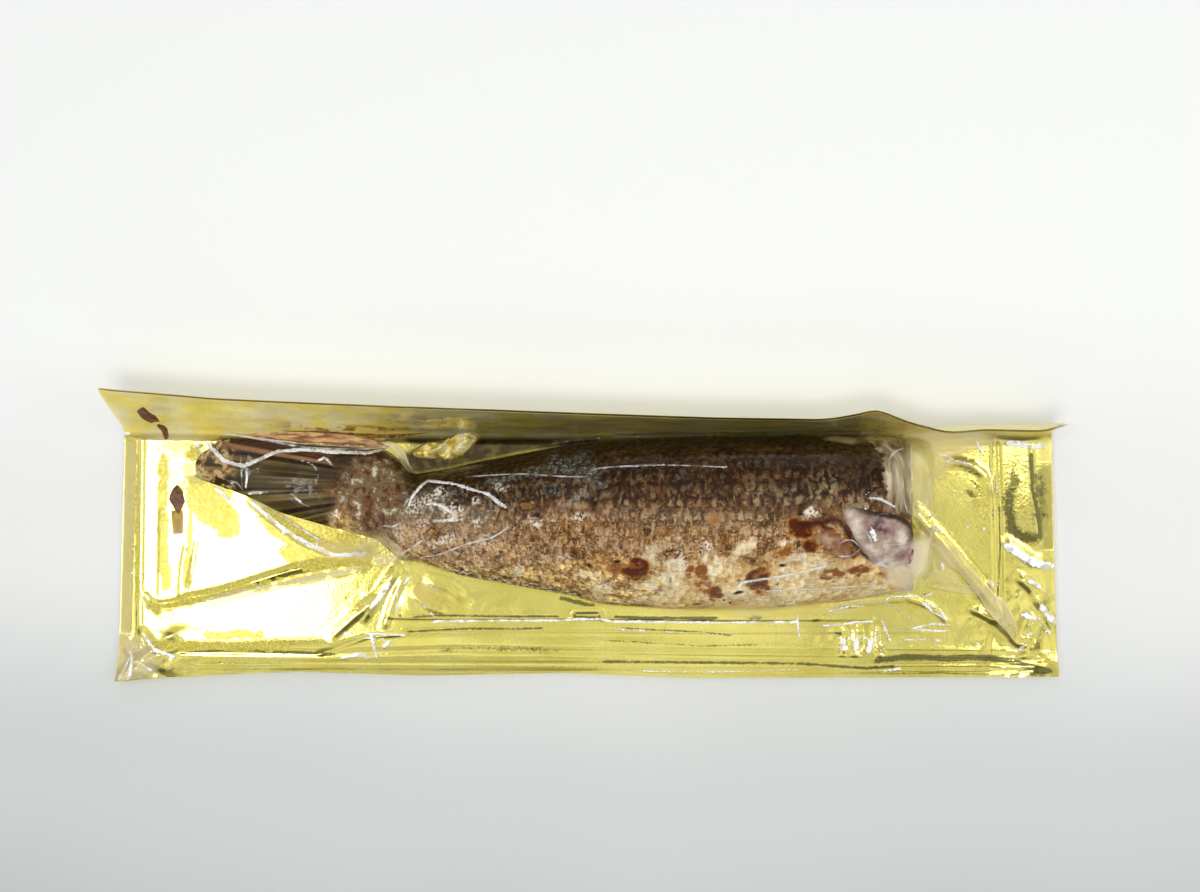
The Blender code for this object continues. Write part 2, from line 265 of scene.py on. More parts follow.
# Folds of the foil and the film on it, as (points, width of a side, height, width of the other side as a share)
FOIL_FOLDS = (
    # long fold lines of the near margin
    (((-84, -32.2), (-60, -32.6), (-11, -32.4), (50, -33.0), (120, -33)), 1.3, 0.16, 0.6),
    (((-78, -37.6), (-60, -37.4), (50, -38.4), (140, -38.0)), 1.2, 0.1, 0.6),
    (((-172, -46.4), (-110, -47.4), (-60, -45.6), (0, -46.5), (110, -47.8), (190, -48.5)), 2.4, 0.34, 0.6),
    (((-165, -50.4), (5, -51.4), (190, -51)), 1.3, 0.14, 0.7),
    (((-172, -54), (60, -54.5), (185, -54.2)), 1.0, 0.1, 1.0),
    # left seal and the field beside the tail
    (((-187.0, 46), (-186.5, 10), (-186, -30), (-185.5, -46)), 1.4, 0.25, 1.5),
    (((-178.8, 14), (-178.6, -4), (-178.3, -24)), 1.5, 0.12, 0.7),
    (((-167.8, -1), (-169.5, -11.6), (-169.9, -25)), 1.6, 0.14, 0.7),
    (((-163.5, 1), (-165.3, -12.5), (-168.4, -24)), 1.6, 0.14, 0.7),
    (((-143.9, 17.8), (-131.7, 8.6), (-120.1, 0.2), (-107.5, -5.3), (-95.0, -7.5)), 4.0, 0.35, 0.5),
    (((-170, -25.5), (-148.8, -20.8), (-123.9, -13), (-95, -7)), 3.0, 0.5, 0.5),
    (((-186, -21), (-178, -31)), 2.5, 0.35, 0.6), (((-184, -27), (-174, -26.5), (-164, -23.5)), 2.2, 0.35, 0.5),
    # near left corner
    (((-197, -38), (-189, -48), (-183, -60)), 3.6, 0.9, 0.7),
    (((-196, -61), (-187, -51), (-179, -45.5), (-168, -42.0)), 3.6, 0.9, 0.6),
    (((-190.5, -49), (-180, -54.5), (-168.5, -58.5)), 2.8, 0.6, 0.7),
    (((-186.5, -36), (-180, -45), (-170, -49.5)), 2.8, 0.6, 0.6),
    # below the root of the tail
    (((-94, -35), (-86, -22), (-78, -11)), 4.0, 0.6, 0.5),
    (((-85, -38), (-80.5, -24), (-76, -14)), 2.6, 0.4, 0.6),
    (((-108, -42), (-97, -32), (-88, -24)), 4.0, 0.5, 0.5),
    (((-113, -48), (-104, -45), (-92, -40.5), (-76, -39)), 2.2, 0.35, 0.6),
    (((-74, -22), (-66, -28), (-58, -31)), 3.0, 0.3, 0.7),
    (((-69, -17), (-58, -20), (-50, -26)), 4.0, 0.3, 0.6),
    # right seal and what crosses it
    (((169.9, 44), (169.5, 20), (169.4, -30)), 1.2, 0.22, 0.7),
    (((172.2, 42), (172.4, 15), (171.8, -34)), 1.3, 0.22, 1.5),
    (((185.6, 40), (186.3, 20), (188.4, 8), (189.6, -4)), 1.6, 0.3, 0.5),
    (((150.0, 32.0), (155.7, 32.2), (161.5, 30.5), (166.0, 26.8), (168.6, 18)), 3.2, 0.45, 0.5),
    (((134, 15), (142, 5), (150, -4), (158, -14), (168, -27), (177, -40)), 4.5, 0.7, 0.6),
    (((171.0, 0.5), (178.8, -4.8), (185.1, -9.4), (195, -11.0)), 4.5, 0.6, 0.4),
    (((177, -14), (184, -20), (190, -31), (195, -40)), 4.0, 0.7, 0.5),
    (((158, -28), (170, -34), (178, -43), (188, -45)), 3.4, 0.6, 0.6),
    (((183, -28), (187, -36), (185, -44), (178, -50)), 3.0, 0.5, 0.6),
    (((93, -33.5), (102, -27.8), (118, -26.0), (133, -24.5), (143, -28), (150, -35)), 2.4, 0.3, 0.6),
    (((103, -35), (106, -40), (105, -49)), 3.0, 0.5, 0.6),
    (((111, -34), (111.4, -42), (110, -49)), 3.2, 0.6, 0.7),
    (((119, -35), (118.6, -43), (122, -49)), 2.6, 0.5, 0.6),
    # mark in the middle of the near margin
    (((-7, -34.0), (-6, -29.8), (5, -29.6), (6, -34.0)), 1.2, 0.25, 0.8),
)


def crumple_strength(x, t):
    """Where the foil is crumpled most: its near corners, below the root of the tail and by the cut end."""
    low_left = smooth_step((-158 - x) / 18) * smooth_step((-34 - t) / 8)
    low_right = smooth_step((x - 150) / 20) * smooth_step((-12 - t) / 14)
    under_tail = np.maximum(
        oval(x, t, -82, -26, 26, 13, 0, 1.0, 1.0), 0.7 * oval(x, t, -45, -27, 34, 6.5, -4, 1.0, 1.0),
    )
    near_cut = oval(x, t, 112, -41, 34, 9, 0, 1.0, 1.0)
    by_cut = oval(x, t, 150, -10, 18, 14, 0, 1.0, 1.0)
    return 0.03 + 0.9 * low_left + 0.55 * low_right + 0.40 * under_tail + 0.5 * near_cut + 0.12 * by_cut


def broad_wrinkles(x, t):
    """Relief that the foil and the film on it share, above the lowest sheet level."""
    relief = 0.45 + 0.14 * layered_noise(x, t * 1.4, 44, 2, 11)
    margin = smooth_step((-40 - t) / 5)
    relief += margin * 0.05 * layered_noise(x * 0.08, t, 2.8, 2, 23)
    wall = smooth_step((t - 40) / 6) * smooth_step((3 - (t - 46) / 9) / 0.6)
    crumple = crumple_strength(x, t)
    relief += crumple * (0.65 * facets(x, t, 10, 31) + 0.25 * facets(x, t, 4.6, 37))
    relief += wall * (0.7 * layered_noise(x * 0.35, t, 9, 3, 53) + 0.3 * layered_noise(x, t, 11, 2, 57))
    for points, width, height, rise in FOIL_FOLDS:
        relief += fold(x, t, points, width, height, rise)
    edge = smooth_step(np.minimum(HALF_LENGTH - np.abs(x), 6.0) / 6.0)
    return np.maximum(relief * (0.35 + 0.65 * edge), 0.02)


# Painted reflection: dark lines and patches painted into the foil's colour where its folds would mirror dark
# things, as (points, half width, strength)
PAINTED_REFLECTION_LINES = (
    (((-160.1, -23.2), (-148.5, -20.6), (-134.8, -17), (-125.9, -13.3), (-117, -11.1),
     (-98.8, -7.9)), 0.8, 0.85),
    (((-170.1, -47.6), (-160.6, -46.3), (-143.3, -45.5), (-131.6, -46.3), (-120.8, -46.6),
     (-102.6, -47.6)), 1, 0.8), (((-73.9, -32.1), (-62.7, -31.3), (-36.5, -31.7), (-11.6, -31.7)), 0.5, 0.9),
    (((10, -31.9), (25.8, -32.3), (54.8, -32.3)), 0.6, 1),
    (((15.4, -32.3), (21.6, -32.8), (32, -33.2)), 0.8, 1),
    (((37.4, -32.1), (46.5, -33), (54, -32.8)), 0.8, 0.9),
    (((64.8, -33.2), (69.4, -32.1), (73.9, -32.1)), 1.2, 0.8),
    (((-6.6, -29.9), (-5.4, -31.9), (5, -32.3), (5.4, -29.7)), 0.7, 1),
    (((-1.6, -30.5), (1.7, -30.5)), 1.2, 0.5),
    (((-75.9, -38.1), (-61.4, -37.3), (-49, -36.7), (-28.2, -36.9), (-17.8, -36.5)), 0.6, 0.8),
    (((12.5, -36.5), (25.8, -37.1), (46.5, -38.1), (61, -39.8)), 0.5, 0.75),
    (((-13.3, -23.7), (-5.4, -25.5), (0.8, -27), (4.6, -26.8)), 1, 1),
    (((-65.4, -46.3), (-48.9, -44.7), (-28.1, -45.5), (-7.4, -46.3)), 2, 0.45),
    (((5, -41.4), (46.4, -43.9), (71.3, -43.5)), 0.5, 0.6),
    (((5, -50.4), (46.3, -50.8), (87.7, -51.2), (114.9, -53.1), (128.1, -52.3)), 0.8, 0.8),
    (((116.7, -50.4), (125, -49.2), (132.9, -48.4), (149.8, -49.2), (157.3, -48.6), (168.9, -49.2),
     (177, -50.8), (186.8, -53.3), (193.6, -55.3)), 1.5, 1),
    (((174.4, -52.9), (186.7, -54.5), (193.6, -55.7)), 2.4, 0.7),
    (((156.8, 29.6), (160.8, 28.5), (165.3, 26.4)), 0.7, 0.9),
    (((156.1, 23.4), (160.6, 19.2), (165.1, 14.6)), 2.2, 0.6),
    (((158.6, 26), (163.1, 22.6), (165.6, 19.2)), 1.2, 0.6),
    (((173.2, 31.4), (177.8, 29.3), (179.1, 24.5), (176.8, 19.8), (175.9, 12.1), (177.2, 4.4), (181.8, 1.3),
     (189.4, -0.3), (193.9, -1.8)), 3.2, 0.8), (((178.3, 26), (179.5, 23.4)), 3.0, 0.6),
    (((174.3, 24), (174.5, 6.3)), 2.4, 0.6),
    (((185.7, 37.7), (186.1, 21.3), (188.2, 10.5), (189.3, -1.6)), 0.9, 1),
    (((188.5, 37.7), (188.9, 20.9), (190, 0)), 3.8, 0.62),
    (((169.9, 44.9), (169.5, 25.1), (169.4, 4.2)), 0.45, 0.7),
    (((171.4, 21.3), (172.1, -0.4), (170.4, -24.9)), 0.5, 0.8), (((173.8, 11.3), (174, 8.4)), 0.9, 1),
    (((174.1, 5.9), (174.2, 2.9)), 1, 1), (((-167.8, -3.3), (-169.5, -11.6), (-169.9, -23.7)), 0.4, 0.7),
    (((-163.5, -0.4), (-165.3, -12.5), (-168.4, -24.1)), 0.4, 0.7),
    (((-140.4, 2.5), (-142.2, -2.5), (-145, -6.2)), 0.4, 0.6),
    (((-178.8, 12.1), (-178.6, -4.1), (-178.3, -19.5)), 0.45, 0.6),
    (((-69.1, -29.7), (-67.3, -33.2)), 0.7, 0.9), (((-64.4, -29.7), (-62.3, -31.1)), 0.7, 0.9),
    (((-84.3, -29.9), (-81.8, -34)), 0.9, 0.8), (((-78.9, -29.9), (-77.2, -33.2)), 0.8, 0.8),
    (((-73.9, -33.2), (-71, -34.8)), 1.2, 0.8),
    (((-188.2, 33.5), (-186.9, 0), (-185.4, -24.9), (-184.4, -33.2)), 1.8, 0.22),
    (((-188.8, 0), (-187.4, -41.4)), 0.5, 0.6), (((-179.8, -53.6), (-171.4, -54.9)), 1.4, 0.7),
    (((-183.8, -24.9), (-175.7, -29.9), (-165.4, -26.5)), 1.2, 0.45),
    (((-184.4, -34), (-175.7, -32.3), (-165.4, -28.2)), 1, 0.6),
    (((-160.3, -50.4), (-69.3, -51.2), (5, -52.8)), 0.6, 0.35), (((-168.2, -54.1), (-69.2, -54)), 0.8, 0.3),
    (((145.2, 25.1), (149.4, 26), (153.6, 23.9)), 0.9, 0.4), (((88, -41.4), (92.9, -41.4)), 0.8, 0.5),
    (((153.3, 8.8), (161.6, 6.3), (165.6, 2.1)), 1.4, 0.35),
)


# Where the foil lies in the shade between the back and the standing side
SHADE = (
    (((-83, 31), (-76, 32.5), (-62, 35), (-46, 38.6), (-28, 42.4), (-8, 45), (10, 47)), 5.0, 1.0),
    (((-80, 41), (-66, 45), (-40, 47.5), (0, 48.5)), 4.0, 0.85),
)


def wall_width_at(x, rise):
    """Width of the standing side above its bend, measured along the sheet."""
    return (STANDING_HEIGHT + along(FAR_EXTRA_HEIGHT, x) - FOOT_RADIUS * (1 - np.cos(rise))) / np.sin(rise)


def sheet_points(x, across, offset, overhang=0.0, raise_to=None):
    """Points of the pouch's sheets, with the distance t along the sheet, which is Y on the flat base."""
    near, base_end, rise = along(NEAR_EDGE_Y, x), base_end_y(x), standing_angle(x)
    on_base, on_bend, on_wall = (np.clip(across - k, 0, 1) for k in range(3))
    wall = wall_width_at(x, rise) * on_wall
    angle = rise * on_bend
    y = near + (base_end - near) * on_base + FOOT_RADIUS * np.sin(angle) + wall * np.cos(rise)
    z = FOOT_RADIUS * (1 - np.cos(angle)) + wall * np.sin(rise)
    t = near + (base_end - near) * on_base + FOOT_RADIUS * angle + wall
    curl = np.clip((NEAR_CURL_START - y) / (NEAR_CURL_START - near), 0, 1)
    lift = along(NEAR_CURL_HEIGHT, x)
    slope = np.where(across < 1, -2 * lift * curl / (NEAR_CURL_START - near), 0)
    ny, nz = -np.sin(angle) - slope, np.cos(angle)
    size = np.hypot(ny, nz)
    relief = broad_wrinkles(x, t)
    y = y + ny / size * (offset + relief)
    z = z + lift * curl ** 2 + nz / size * (offset + relief)
    if raise_to is not None:
        z = raise_to(x, y, z, t)
    toward_tip = smooth_step((FLARE_LENGTH - HALF_LENGTH - x) / FLARE_LENGTH)
    flare = TIP_FLARE * smooth_step(z / STANDING_HEIGHT) * toward_tip
    reach = overhang * smooth_step((x - HALF_LENGTH + END_SEAL) / END_SEAL)
    return np.stack([x - flare + reach, y, np.maximum(z, SHEET_LOWEST)], axis=-1), t


def soft_max(a, b, softness):
    return softness * np.logaddexp(a / softness, b / softness)


# Lines of the film that more than one table below uses
TAIL_RIDGE = ((-152.2, 44.4), (-132.5, 41.1), (-119.2, 38.5), (-102.9, 37.5), (-86.0, 38.0))
TAIL_MARK = ((-143.2, 19.5), (-137.3, 19.7), (-131.7, 19.3))
RAY_CURL = ((-113.3, 32.2), (-108.7, 33.6), (-105.2, 30.2), (-103.5, 29.3))
ROOT_CREASE = ((-81.9, -8.8), (-77.5, -6.4), (-71.8, -3.7), (-66.7, -0.7))
CUT_GLINT = ((110.0, 15.0), (115.3, 14.7), (119.3, 12.8), (122.3, 10.9))
CUT_ARC = ((119.6, 26.4), (120.8, 31.6), (124.1, 34.8), (128.4, 36.3))
CUT_LINE = ((124.5, 30.8), (125.3, 22.7), (125.3, 14.5), (126.9, 8.6))
CUT_EDGE = ((130.5, 33.4), (130.2, 23.1), (127.8, 12.6))
TAIL_FORK = (
    (-160, 41.5), (-152, 33), (-147, 31.5), (-142.5, 30.5), (-136, 33.5), (-129, 36.3), (-119.1, 37.2),
    (-101.0, 35.9), (-90, 35.8), (-84.5, 37.8),
)
BLISTER_RIM = (
    (-72.9, 12.3), (-71.3, 16.7), (-68.2, 20.9), (-65.1, 23.4), (-60.0, 22.8), (-53.6, 21.8), (-47.3, 19.5),
    (-39.8, 17.3), (-34.9, 13.2), (-30.8, 10.8),
)
BLISTER_EYE = (
    (-66.1, 13.3), (-62.8, 14.1), (-57.6, 12.3), (-53.5, 9.4), (-54.3, 7.0), (-59.3, 6.7), (-63.4, 6.8),
)
BELLY_STREAK = ((59.3, -20.9), (61.8, -18.1), (68.0, -17.0), (78.7, -15.4), (88.5, -13.0), (95.6, -11.5))
BELLY_LINE = ((70.6, -21.3), (85.6, -20.9), (104.1, -19.7), (118.8, -18.8))

# Film relief over the fish and beside it, as (points, width, height)
FILM_STROKES = (
    (TAIL_RIDGE, 1.2, 1.2),
    (((-143.7, 25.5), (-142.0, 30.5), (-132.0, 34.9), (-119.1, 36.0), (-101.0, 35.1), (-86.5, 35.4)), 1.2, 0.7),
    (((-144.3, 35.1), (-143.5, 20.2)), 1.0, 0.7), (TAIL_MARK, 0.9, 0.5),
    (((-125.6, 18.4), (-118.7, 13.8), (-105.3, 9.0), (-104.2, 12.9)), 0.9, 0.5), (RAY_CURL, 0.9, 0.5),
    (((-163, 44), (-155, 39), (-148, 33), (-142, 30)), 1.4, 0.8),
    (((-72.9, 12.3), (-71.3, 16.7), (-68.2, 20.9), (-65.1, 23.0), (-60.0, 22.8), (-53.6, 21.8),
     (-47.3, 19.5), (-39.8, 17.3), (-34.9, 13.2), (-30.8, 10.8)), 1.0, 0.8),
    (((-29.6, 5.6), (-34.9, 1.7), (-39.9, -0.6), (-47.3, -2.1), (-54.9, -4.7), (-61.5, -6.6)), 1.0, 0.8),
    (ROOT_CREASE, 0.9, 0.7), (CUT_GLINT, 1.0, 0.6), (CUT_ARC, 1.0, 0.7), (CUT_LINE, 1.0, 0.7),
    (CUT_EDGE, 1.0, 0.6), (((99.1, 8.3), (105.0, 0.5), (114.8, -11.0)), 1.2, -0.8),
)


def film_surface(x, y, flat):
    """The film over the fish where that is higher than the film that lies on the foil."""
    lifted = film_height(x, y)
    lifted = soft_max(lifted, 0 * lifted, 0.25) - 0.17
    on_body = smooth_step((lifted - 2.0) / 5)
    for points, width, height in FILM_STROKES:
        lifted = lifted + stroke(x, y, points, width, height) * on_body
    lifted += on_body * 0.25 * layered_noise(x, y, 14, 3, 61)
    return np.maximum(soft_max(lifted, flat, 0.35) - 0.1, flat)


def join(points_list, faces_list):
    points, faces, start = [], [], 0
    for p, f in zip(points_list, faces_list):
        points.append(p.reshape(-1, 3))
        faces.append(f + start)
        start += p.reshape(-1, 3).shape[0]
    return np.concatenate(points), np.concatenate(faces)


def across_line(line, cross, half):
    """Points to both sides of a line, and its run from 0 to 1."""
    direction = np.gradient(line, axis=0)
    direction /= np.linalg.norm(direction, axis=1, keepdims=True)
    x = line[:, :1] - direction[:, 1:] * cross * half[:, None]
    return x, line[:, 1:] + direction[:, :1] * cross * half[:, None]


def closed_faces(rings, spokes):
    """Faces of a closed piece from an upper and a lower disc of rings, upper points first."""
    below = rings * spokes
    edge = np.arange(spokes) + (rings - 1) * spokes
    after = np.roll(edge, -1)
    return np.concatenate([
        grid_faces(rings, spokes, closed=True, reverse=True), grid_faces(rings, spokes, closed=True) + below,
        np.stack([edge, after, after + below, edge + below], axis=-1),
    ])


def two_sided(upper, lower):
    return np.concatenate([upper.reshape(-1, 3), lower.reshape(-1, 3)])


def grid_faces(rows, columns, closed=False, reverse=False):
    index = np.arange(rows * columns).reshape(rows, columns)
    if closed:
        index = np.concatenate([index, index[:, :1]], axis=1)
    a, b, c, d = index[:-1, :-1], index[1:, :-1], index[1:, 1:], index[:-1, 1:]
    quads = np.stack([a, b, c, d], axis=-1).reshape(-1, 4)
    return quads[:, ::-1] if reverse else quads


def make_mesh(name, points, faces, material, attributes=None, weld=False):
    """One piece from points in design millimetres; faces are quads, or triangles."""
    points = (points.reshape(-1, 3) - (*MIDDLE, 0)) * MM
    mesh = bpy.data.meshes.new(name)
    mesh.from_pydata(points.tolist(), [], faces if isinstance(faces, list) else faces.tolist())
    mesh.shade_smooth()
    for key, values in (attributes or {}).items():
        layer = mesh.attributes.new(key, "FLOAT", "POINT")
        layer.data.foreach_set("value", np.asarray(values, np.float32).reshape(-1))
    if weld:
        joined = bmesh.new()
        joined.from_mesh(mesh)
        bmesh.ops.remove_doubles(joined, verts=joined.verts, dist=WELD_DISTANCE)
        joined.to_mesh(mesh)
        joined.free()
    mesh.materials.append(material)
    piece = bpy.data.objects.new(name, mesh)
    bpy.context.scene.collection.objects.link(piece)
    return piece


class Tree:
    """The node tree of a new material, or of the world."""

    def __init__(self, name, world=None):
        self.owner = world or bpy.data.materials.new(name)
        self.owner.use_nodes = True
        self.nodes = self.owner.node_tree.nodes
        self.links = self.owner.node_tree.links
        self.nodes.clear()
        self.output = self.nodes.new("ShaderNodeOutput" + ("World" if world else "Material"))

    def add(self, kind, inputs=None, **settings):
        node = self.nodes.new("ShaderNode" + kind)
        for key, value in settings.items():
            setattr(node, key, value)
        for key, value in (inputs or {}).items():
            self.set(node.inputs[key], value)
        return node

    def set(self, socket, value):
        if isinstance(value, bpy.types.NodeSocket):
            self.links.new(value, socket)
        elif isinstance(value, tuple) and len(value) == 3 and socket.type == "RGBA":
            socket.default_value = (*value, 1)
        else:
            socket.default_value = value

    def field(self, name):
        return self.add("Attribute", attribute_name=name).outputs["Fac"]

    def place(self):
        return self.add("TexCoord").outputs["Object"]

    def axes(self):
        return self.add("SeparateXYZ", {0: self.place()}).outputs

    def noise(self, scale, detail=3.0, roughness=0.55, stretch=None):
        vector = self.place()
        if stretch:
            vector = self.add("Mapping", {"Vector": vector, "Scale": stretch}).outputs[0]
        return self.add("TexNoise", {
            "Vector": vector, "Scale": scale, "Detail": detail, "Roughness": roughness,
        }).outputs["Fac"]

    def math(self, operation, a, b=0.5, clamp=False):
        return self.add("Math", {0: a, 1: b}, operation=operation, use_clamp=clamp).outputs[0]

    def times(self, a, b):
        return self.math("MULTIPLY", a, b)

    def between(self, factor, start, end, low, high):
        """Straight from low at the start to high at the end."""
        return self.add("MapRange", {0: factor, 1: start, 2: end, 3: low, 4: high}).outputs[0]

    def add_scaled(self, a, share, b):
        """b + share * a"""
        return self.add("Math", {0: a, 1: share, 2: b}, operation="MULTIPLY_ADD").outputs[0]

    def vary(self, value, noise, share):
        """The value, raised and lowered by a noise of 0 to 1."""
        return self.add_scaled(self.math("SUBTRACT", noise, 0.5), share, value)

    def ramp(self, factor, stops):
        node = self.add("ValToRGB", {"Fac": factor})
        ramp = node.color_ramp
        ramp.interpolation = "EASE"
        while len(ramp.elements) < len(stops):
            ramp.elements.new(0.5)
        for element, (position, colour) in zip(ramp.elements, stops):
            element.position = position
            element.color = (*colour, 1) if isinstance(colour, tuple) else (colour, colour, colour, 1)
        return node.outputs["Color"]

    def rise(self, factor, start, end, high=1.0, low=0.0):
        """Low up to the start, high from the end on."""
        return self.ramp(factor, ((start, low), (end, high)))

    def patch(self, name, factor, *stops):
        """A field, broken up by a noise."""
        return self.times(self.field(name), self.rise(factor, *stops))

    def mix(self, factor, a, b, blend="MIX"):
        node = self.add("Mix", data_type="RGBA", blend_type=blend)
        self.set(node.inputs[0], factor)
        self.set(node.inputs[6], a)
        self.set(node.inputs[7], b)
        return node.outputs[2]

    def bump(self, height, strength, distance, normal=None):
        node = self.add("Bump", {"Height": height, "Strength": strength, "Distance": distance})
        if normal is not None:
            self.links.new(normal, node.inputs["Normal"])
        return node.outputs[0]

    def thin_gloss(self, normal, straight_on):
        """Share that a thin film mirrors, the same from both of its sides (Schlick's approximation)."""
        edge_on = self.add("LayerWeight", {"Blend": 0.5, "Normal": normal}).outputs["Facing"]
        return self.add_scaled(self.math("POWER", edge_on, 5.0), 1 - straight_on, straight_on)

    def matter(self, colour, roughness, normal=None, specular=0.5, metallic=0.0, **more):
        """A principled surface."""
        inputs = {"Base Color": colour, "Roughness": roughness, "Specular IOR Level": specular}
        if normal is not None:
            inputs["Normal"] = normal
        return self.add("BsdfPrincipled", {**inputs, "Metallic": metallic, **more})

    def blend(self, share, below, above):
        """One shader over another by a share."""
        return self.add("MixShader", {0: share, 1: below.outputs[0], 2: above.outputs[0]})

    def finish(self, shader):
        self.links.new(shader.outputs[0], self.output.inputs["Surface"])
        return self.owner


# Where yellow brine lies between the film and the foil and dulls its shine
BRINE = (
    (((-169.5, 31), (-162, 21), (-153.5, 11.5), (-146.5, 2.5)), 8.5, 1.7),
    (((-157.5, 17), (-150.5, 6.0), (-143, 0)), 7.0, 1.6),
    (((-141, 14.0), (-124.4, 5.8), (-111.8, -0.6), (-99.2, -5.0), (-84, -8.5)), 7.0, 1.6),
    (((-134, 0.5), (-115.9, -6.0), (-98, -10.0)), 8.0, 1.4),
    (((-178.2, 40), (-178.0, 12.6), (-177, -8.3), (-174.6, -24.4)), 2.6, 0.85),
    (((-166.5, 30), (-166.2, 8), (-167, -22)), 1.8, 0.75), (((-172, 42), (-164, 36), (-158, 30)), 4.0, 0.8),
    (((-188, -30.2), (-169.6, -26.0), (-153.1, -22.0), (-133.2, -18.2), (-111.6, -15.0),
     (-94.5, -12.8)), 3.0, 0.66), (((-162, -39.8), (-145, -39.0), (-131, -39.8)), 2.2, 0.8),
    (((-184, -43.5), (-150, -44.2), (-118, -44.0)), 2.6, 0.75), (((-101, -15), (-92, -36)), 6.0, 0.7),
    (((-72, -19), (-56, -25)), 5.0, 0.7), (((-46, -24), (-30, -27)), 4.0, 0.6),
    (((-189.5, 38), (-188.5, 0), (-187.5, -30)), 1.6, 0.55),
)


def gold_material():
    t = Tree("gold_foil_look")
    grain = t.noise(900, 2.0)
    wave = t.noise(45, 2.0)
    pits = t.noise(2600, 1.0)
    speckle = t.noise(1100, 1.0)
    x, y, _ = t.axes()
    dots = t.times(t.math("SINE", t.times(x, 6400.0)), t.math("SINE", t.times(y, 6400.0)))
    knurl = t.times(dots, t.field("knurl"))
    normal = t.bump(grain, 0.10, 0.0003)
    normal = t.bump(wave, 0.10, 0.0012, normal)
    normal = t.bump(knurl, 0.5, 0.00012, normal)
    colour = t.mix(t.rise(wave, 0.3, 0.7), (0.80, 0.70, 0.145), (0.87, 0.775, 0.21))
    thin = t.noise(190, 3.0, 0.65)
    edge = t.add_scaled(thin, 0.8, t.add_scaled(speckle, 0.6, -0.70))
    # painted reflection: the olive field darkens the foil's colour along its lines
    dark = t.rise(t.math("ADD", t.field("olive"), edge), 0.3, 0.72, 0.92)
    dark = t.times(dark, t.rise(t.field("olive"), 0.02, 0.25))
    colour = t.mix(dark, colour, (0.155, 0.145, 0.030))
    shade = t.times(t.rise(t.field("shade"), 0.1, 0.5), t.rise(thin, 0.36, 0.56, 1.0, 0.88))
    colour = t.mix(shade, colour, (0.062, 0.040, 0.005))
    colour = t.mix(t.field("rim"), colour, (0.97, 0.90, 0.52))
    rough = t.mix(t.field("rim"), t.rise(pits, 0.35, 0.75, 0.15, 0.06), (0.5, 0.5, 0.5))
    surface = t.matter(colour, rough, normal, metallic=1.0)
    border = t.add_scaled(thin, 1.5, t.field("brine"))
    wet = t.rise(t.math("SUBTRACT", border, 0.75), 0.36, 0.5, 0.93)
    wet = t.times(wet, t.rise(t.field("brine"), 0.05, 0.25))
    yellow = t.ramp(speckle, (
        (0.36, (0.56, 0.46, 0.05)), (0.52, (0.65, 0.56, 0.10)), (0.66, (0.80, 0.73, 0.26)),
    ))
    brine = t.matter(yellow, 0.5, normal, specular=0.05)
    whole = t.blend(wet, surface, brine)
    return t.finish(whole)


def foil_back_material():
    t = Tree("foil_outer_look")
    grain = t.noise(700, 3.0)
    wave = t.noise(60, 3.0)
    normal = t.bump(wave, 0.25, 0.0012, t.bump(grain, 0.15, 0.0003))
    colour = t.mix(t.rise(wave, 0.3, 0.7), (0.97, 0.86, 0.30), (1.0, 0.92, 0.44))
    rough = t.rise(grain, 0.3, 0.7, 0.45, 0.28)
    surface = t.matter(colour, rough, normal, specular=0.3)
    return t.finish(surface)


def film_material():
    t = Tree("clear_film_look")
    ripple = t.noise(240, 2.0)
    fine = t.noise(1100, 1.0)
    normal = t.bump(ripple, 0.20, 0.0006)
    normal = t.bump(fine, 0.10, 0.0002, normal)
    gloss = t.add("BsdfGlossy", {"Color": (1.0, 1.0, 1.0), "Roughness": 0.045, "Normal": normal})
    clear = t.add("BsdfTransparent", {"Color": (0.985, 0.98, 0.965)})
    shine = t.times(t.thin_gloss(normal, 0.028), t.rise(t.field("dull"), 0.0, 1.0, 0.12, 1.0))
    film = t.blend(shine, clear, gloss)
    cloud = t.noise(75, 1.5)
    mottle = t.noise(160, 2.0, 0.6)
    tint = t.ramp(t.field("warm"), (
        (0.0, (1.0, 0.86, 0.62)), (0.5, (1.0, 0.87, 0.43)), (1.0, (1.0, 0.83, 0.18)),
    ))
    tint = t.mix(t.rise(cloud, 0.4, 0.66, 0.55), tint, (0.97, 0.90, 0.62))
    rust = t.patch("rust", mottle, 0.42, 0.58, 0.92)
    tint = t.mix(rust, tint, t.ramp(ripple, ((0.38, (0.13, 0.045, 0.006)), (0.60, (0.46, 0.25, 0.03)))))
    milky = t.matter(tint, t.rise(fine, 0.3, 0.7, 0.4, 0.25), normal, specular=0.2)
    grain = t.rise(mottle, 0.38, 0.56, 1.0, 0.92)
    haze = t.times(t.field("haze"), t.mix(t.field("warm"), (1.0, 1.0, 1.0), grain))
    whole = t.blend(haze, film, milky)
    # painted highlights: the film turns white along the gleam field
    edge = t.add_scaled(mottle, 0.9, t.add_scaled(t.noise(1000, 1.0), 0.7, -0.80))
    glare = t.rise(t.math("ADD", t.field("gleam"), edge), 0.34, 0.6)
    glare = t.times(glare, t.rise(t.field("gleam"), 0.02, 0.25))
    glare = t.times(glare, t.rise(ripple, 0.36, 0.52, 1.0, 0.45))
    white = t.matter((1.0, 1.0, 0.97), t.rise(fine, 0.3, 0.7, 0.3, 0.15), normal)
    whole = t.blend(glare, whole, white)
    return t.finish(whole)


def graded_steps(marks, counts):
    """Steps from mark to mark, even between two marks, with a count for each stretch."""
    parts = [np.linspace(low, high, count)[:-1] for low, high, count in zip(marks, marks[1:], counts)]
    return np.concatenate([*parts, marks[-1:]])


def rim_at(a):
    return smooth_step((a - 2.955) / 0.02)


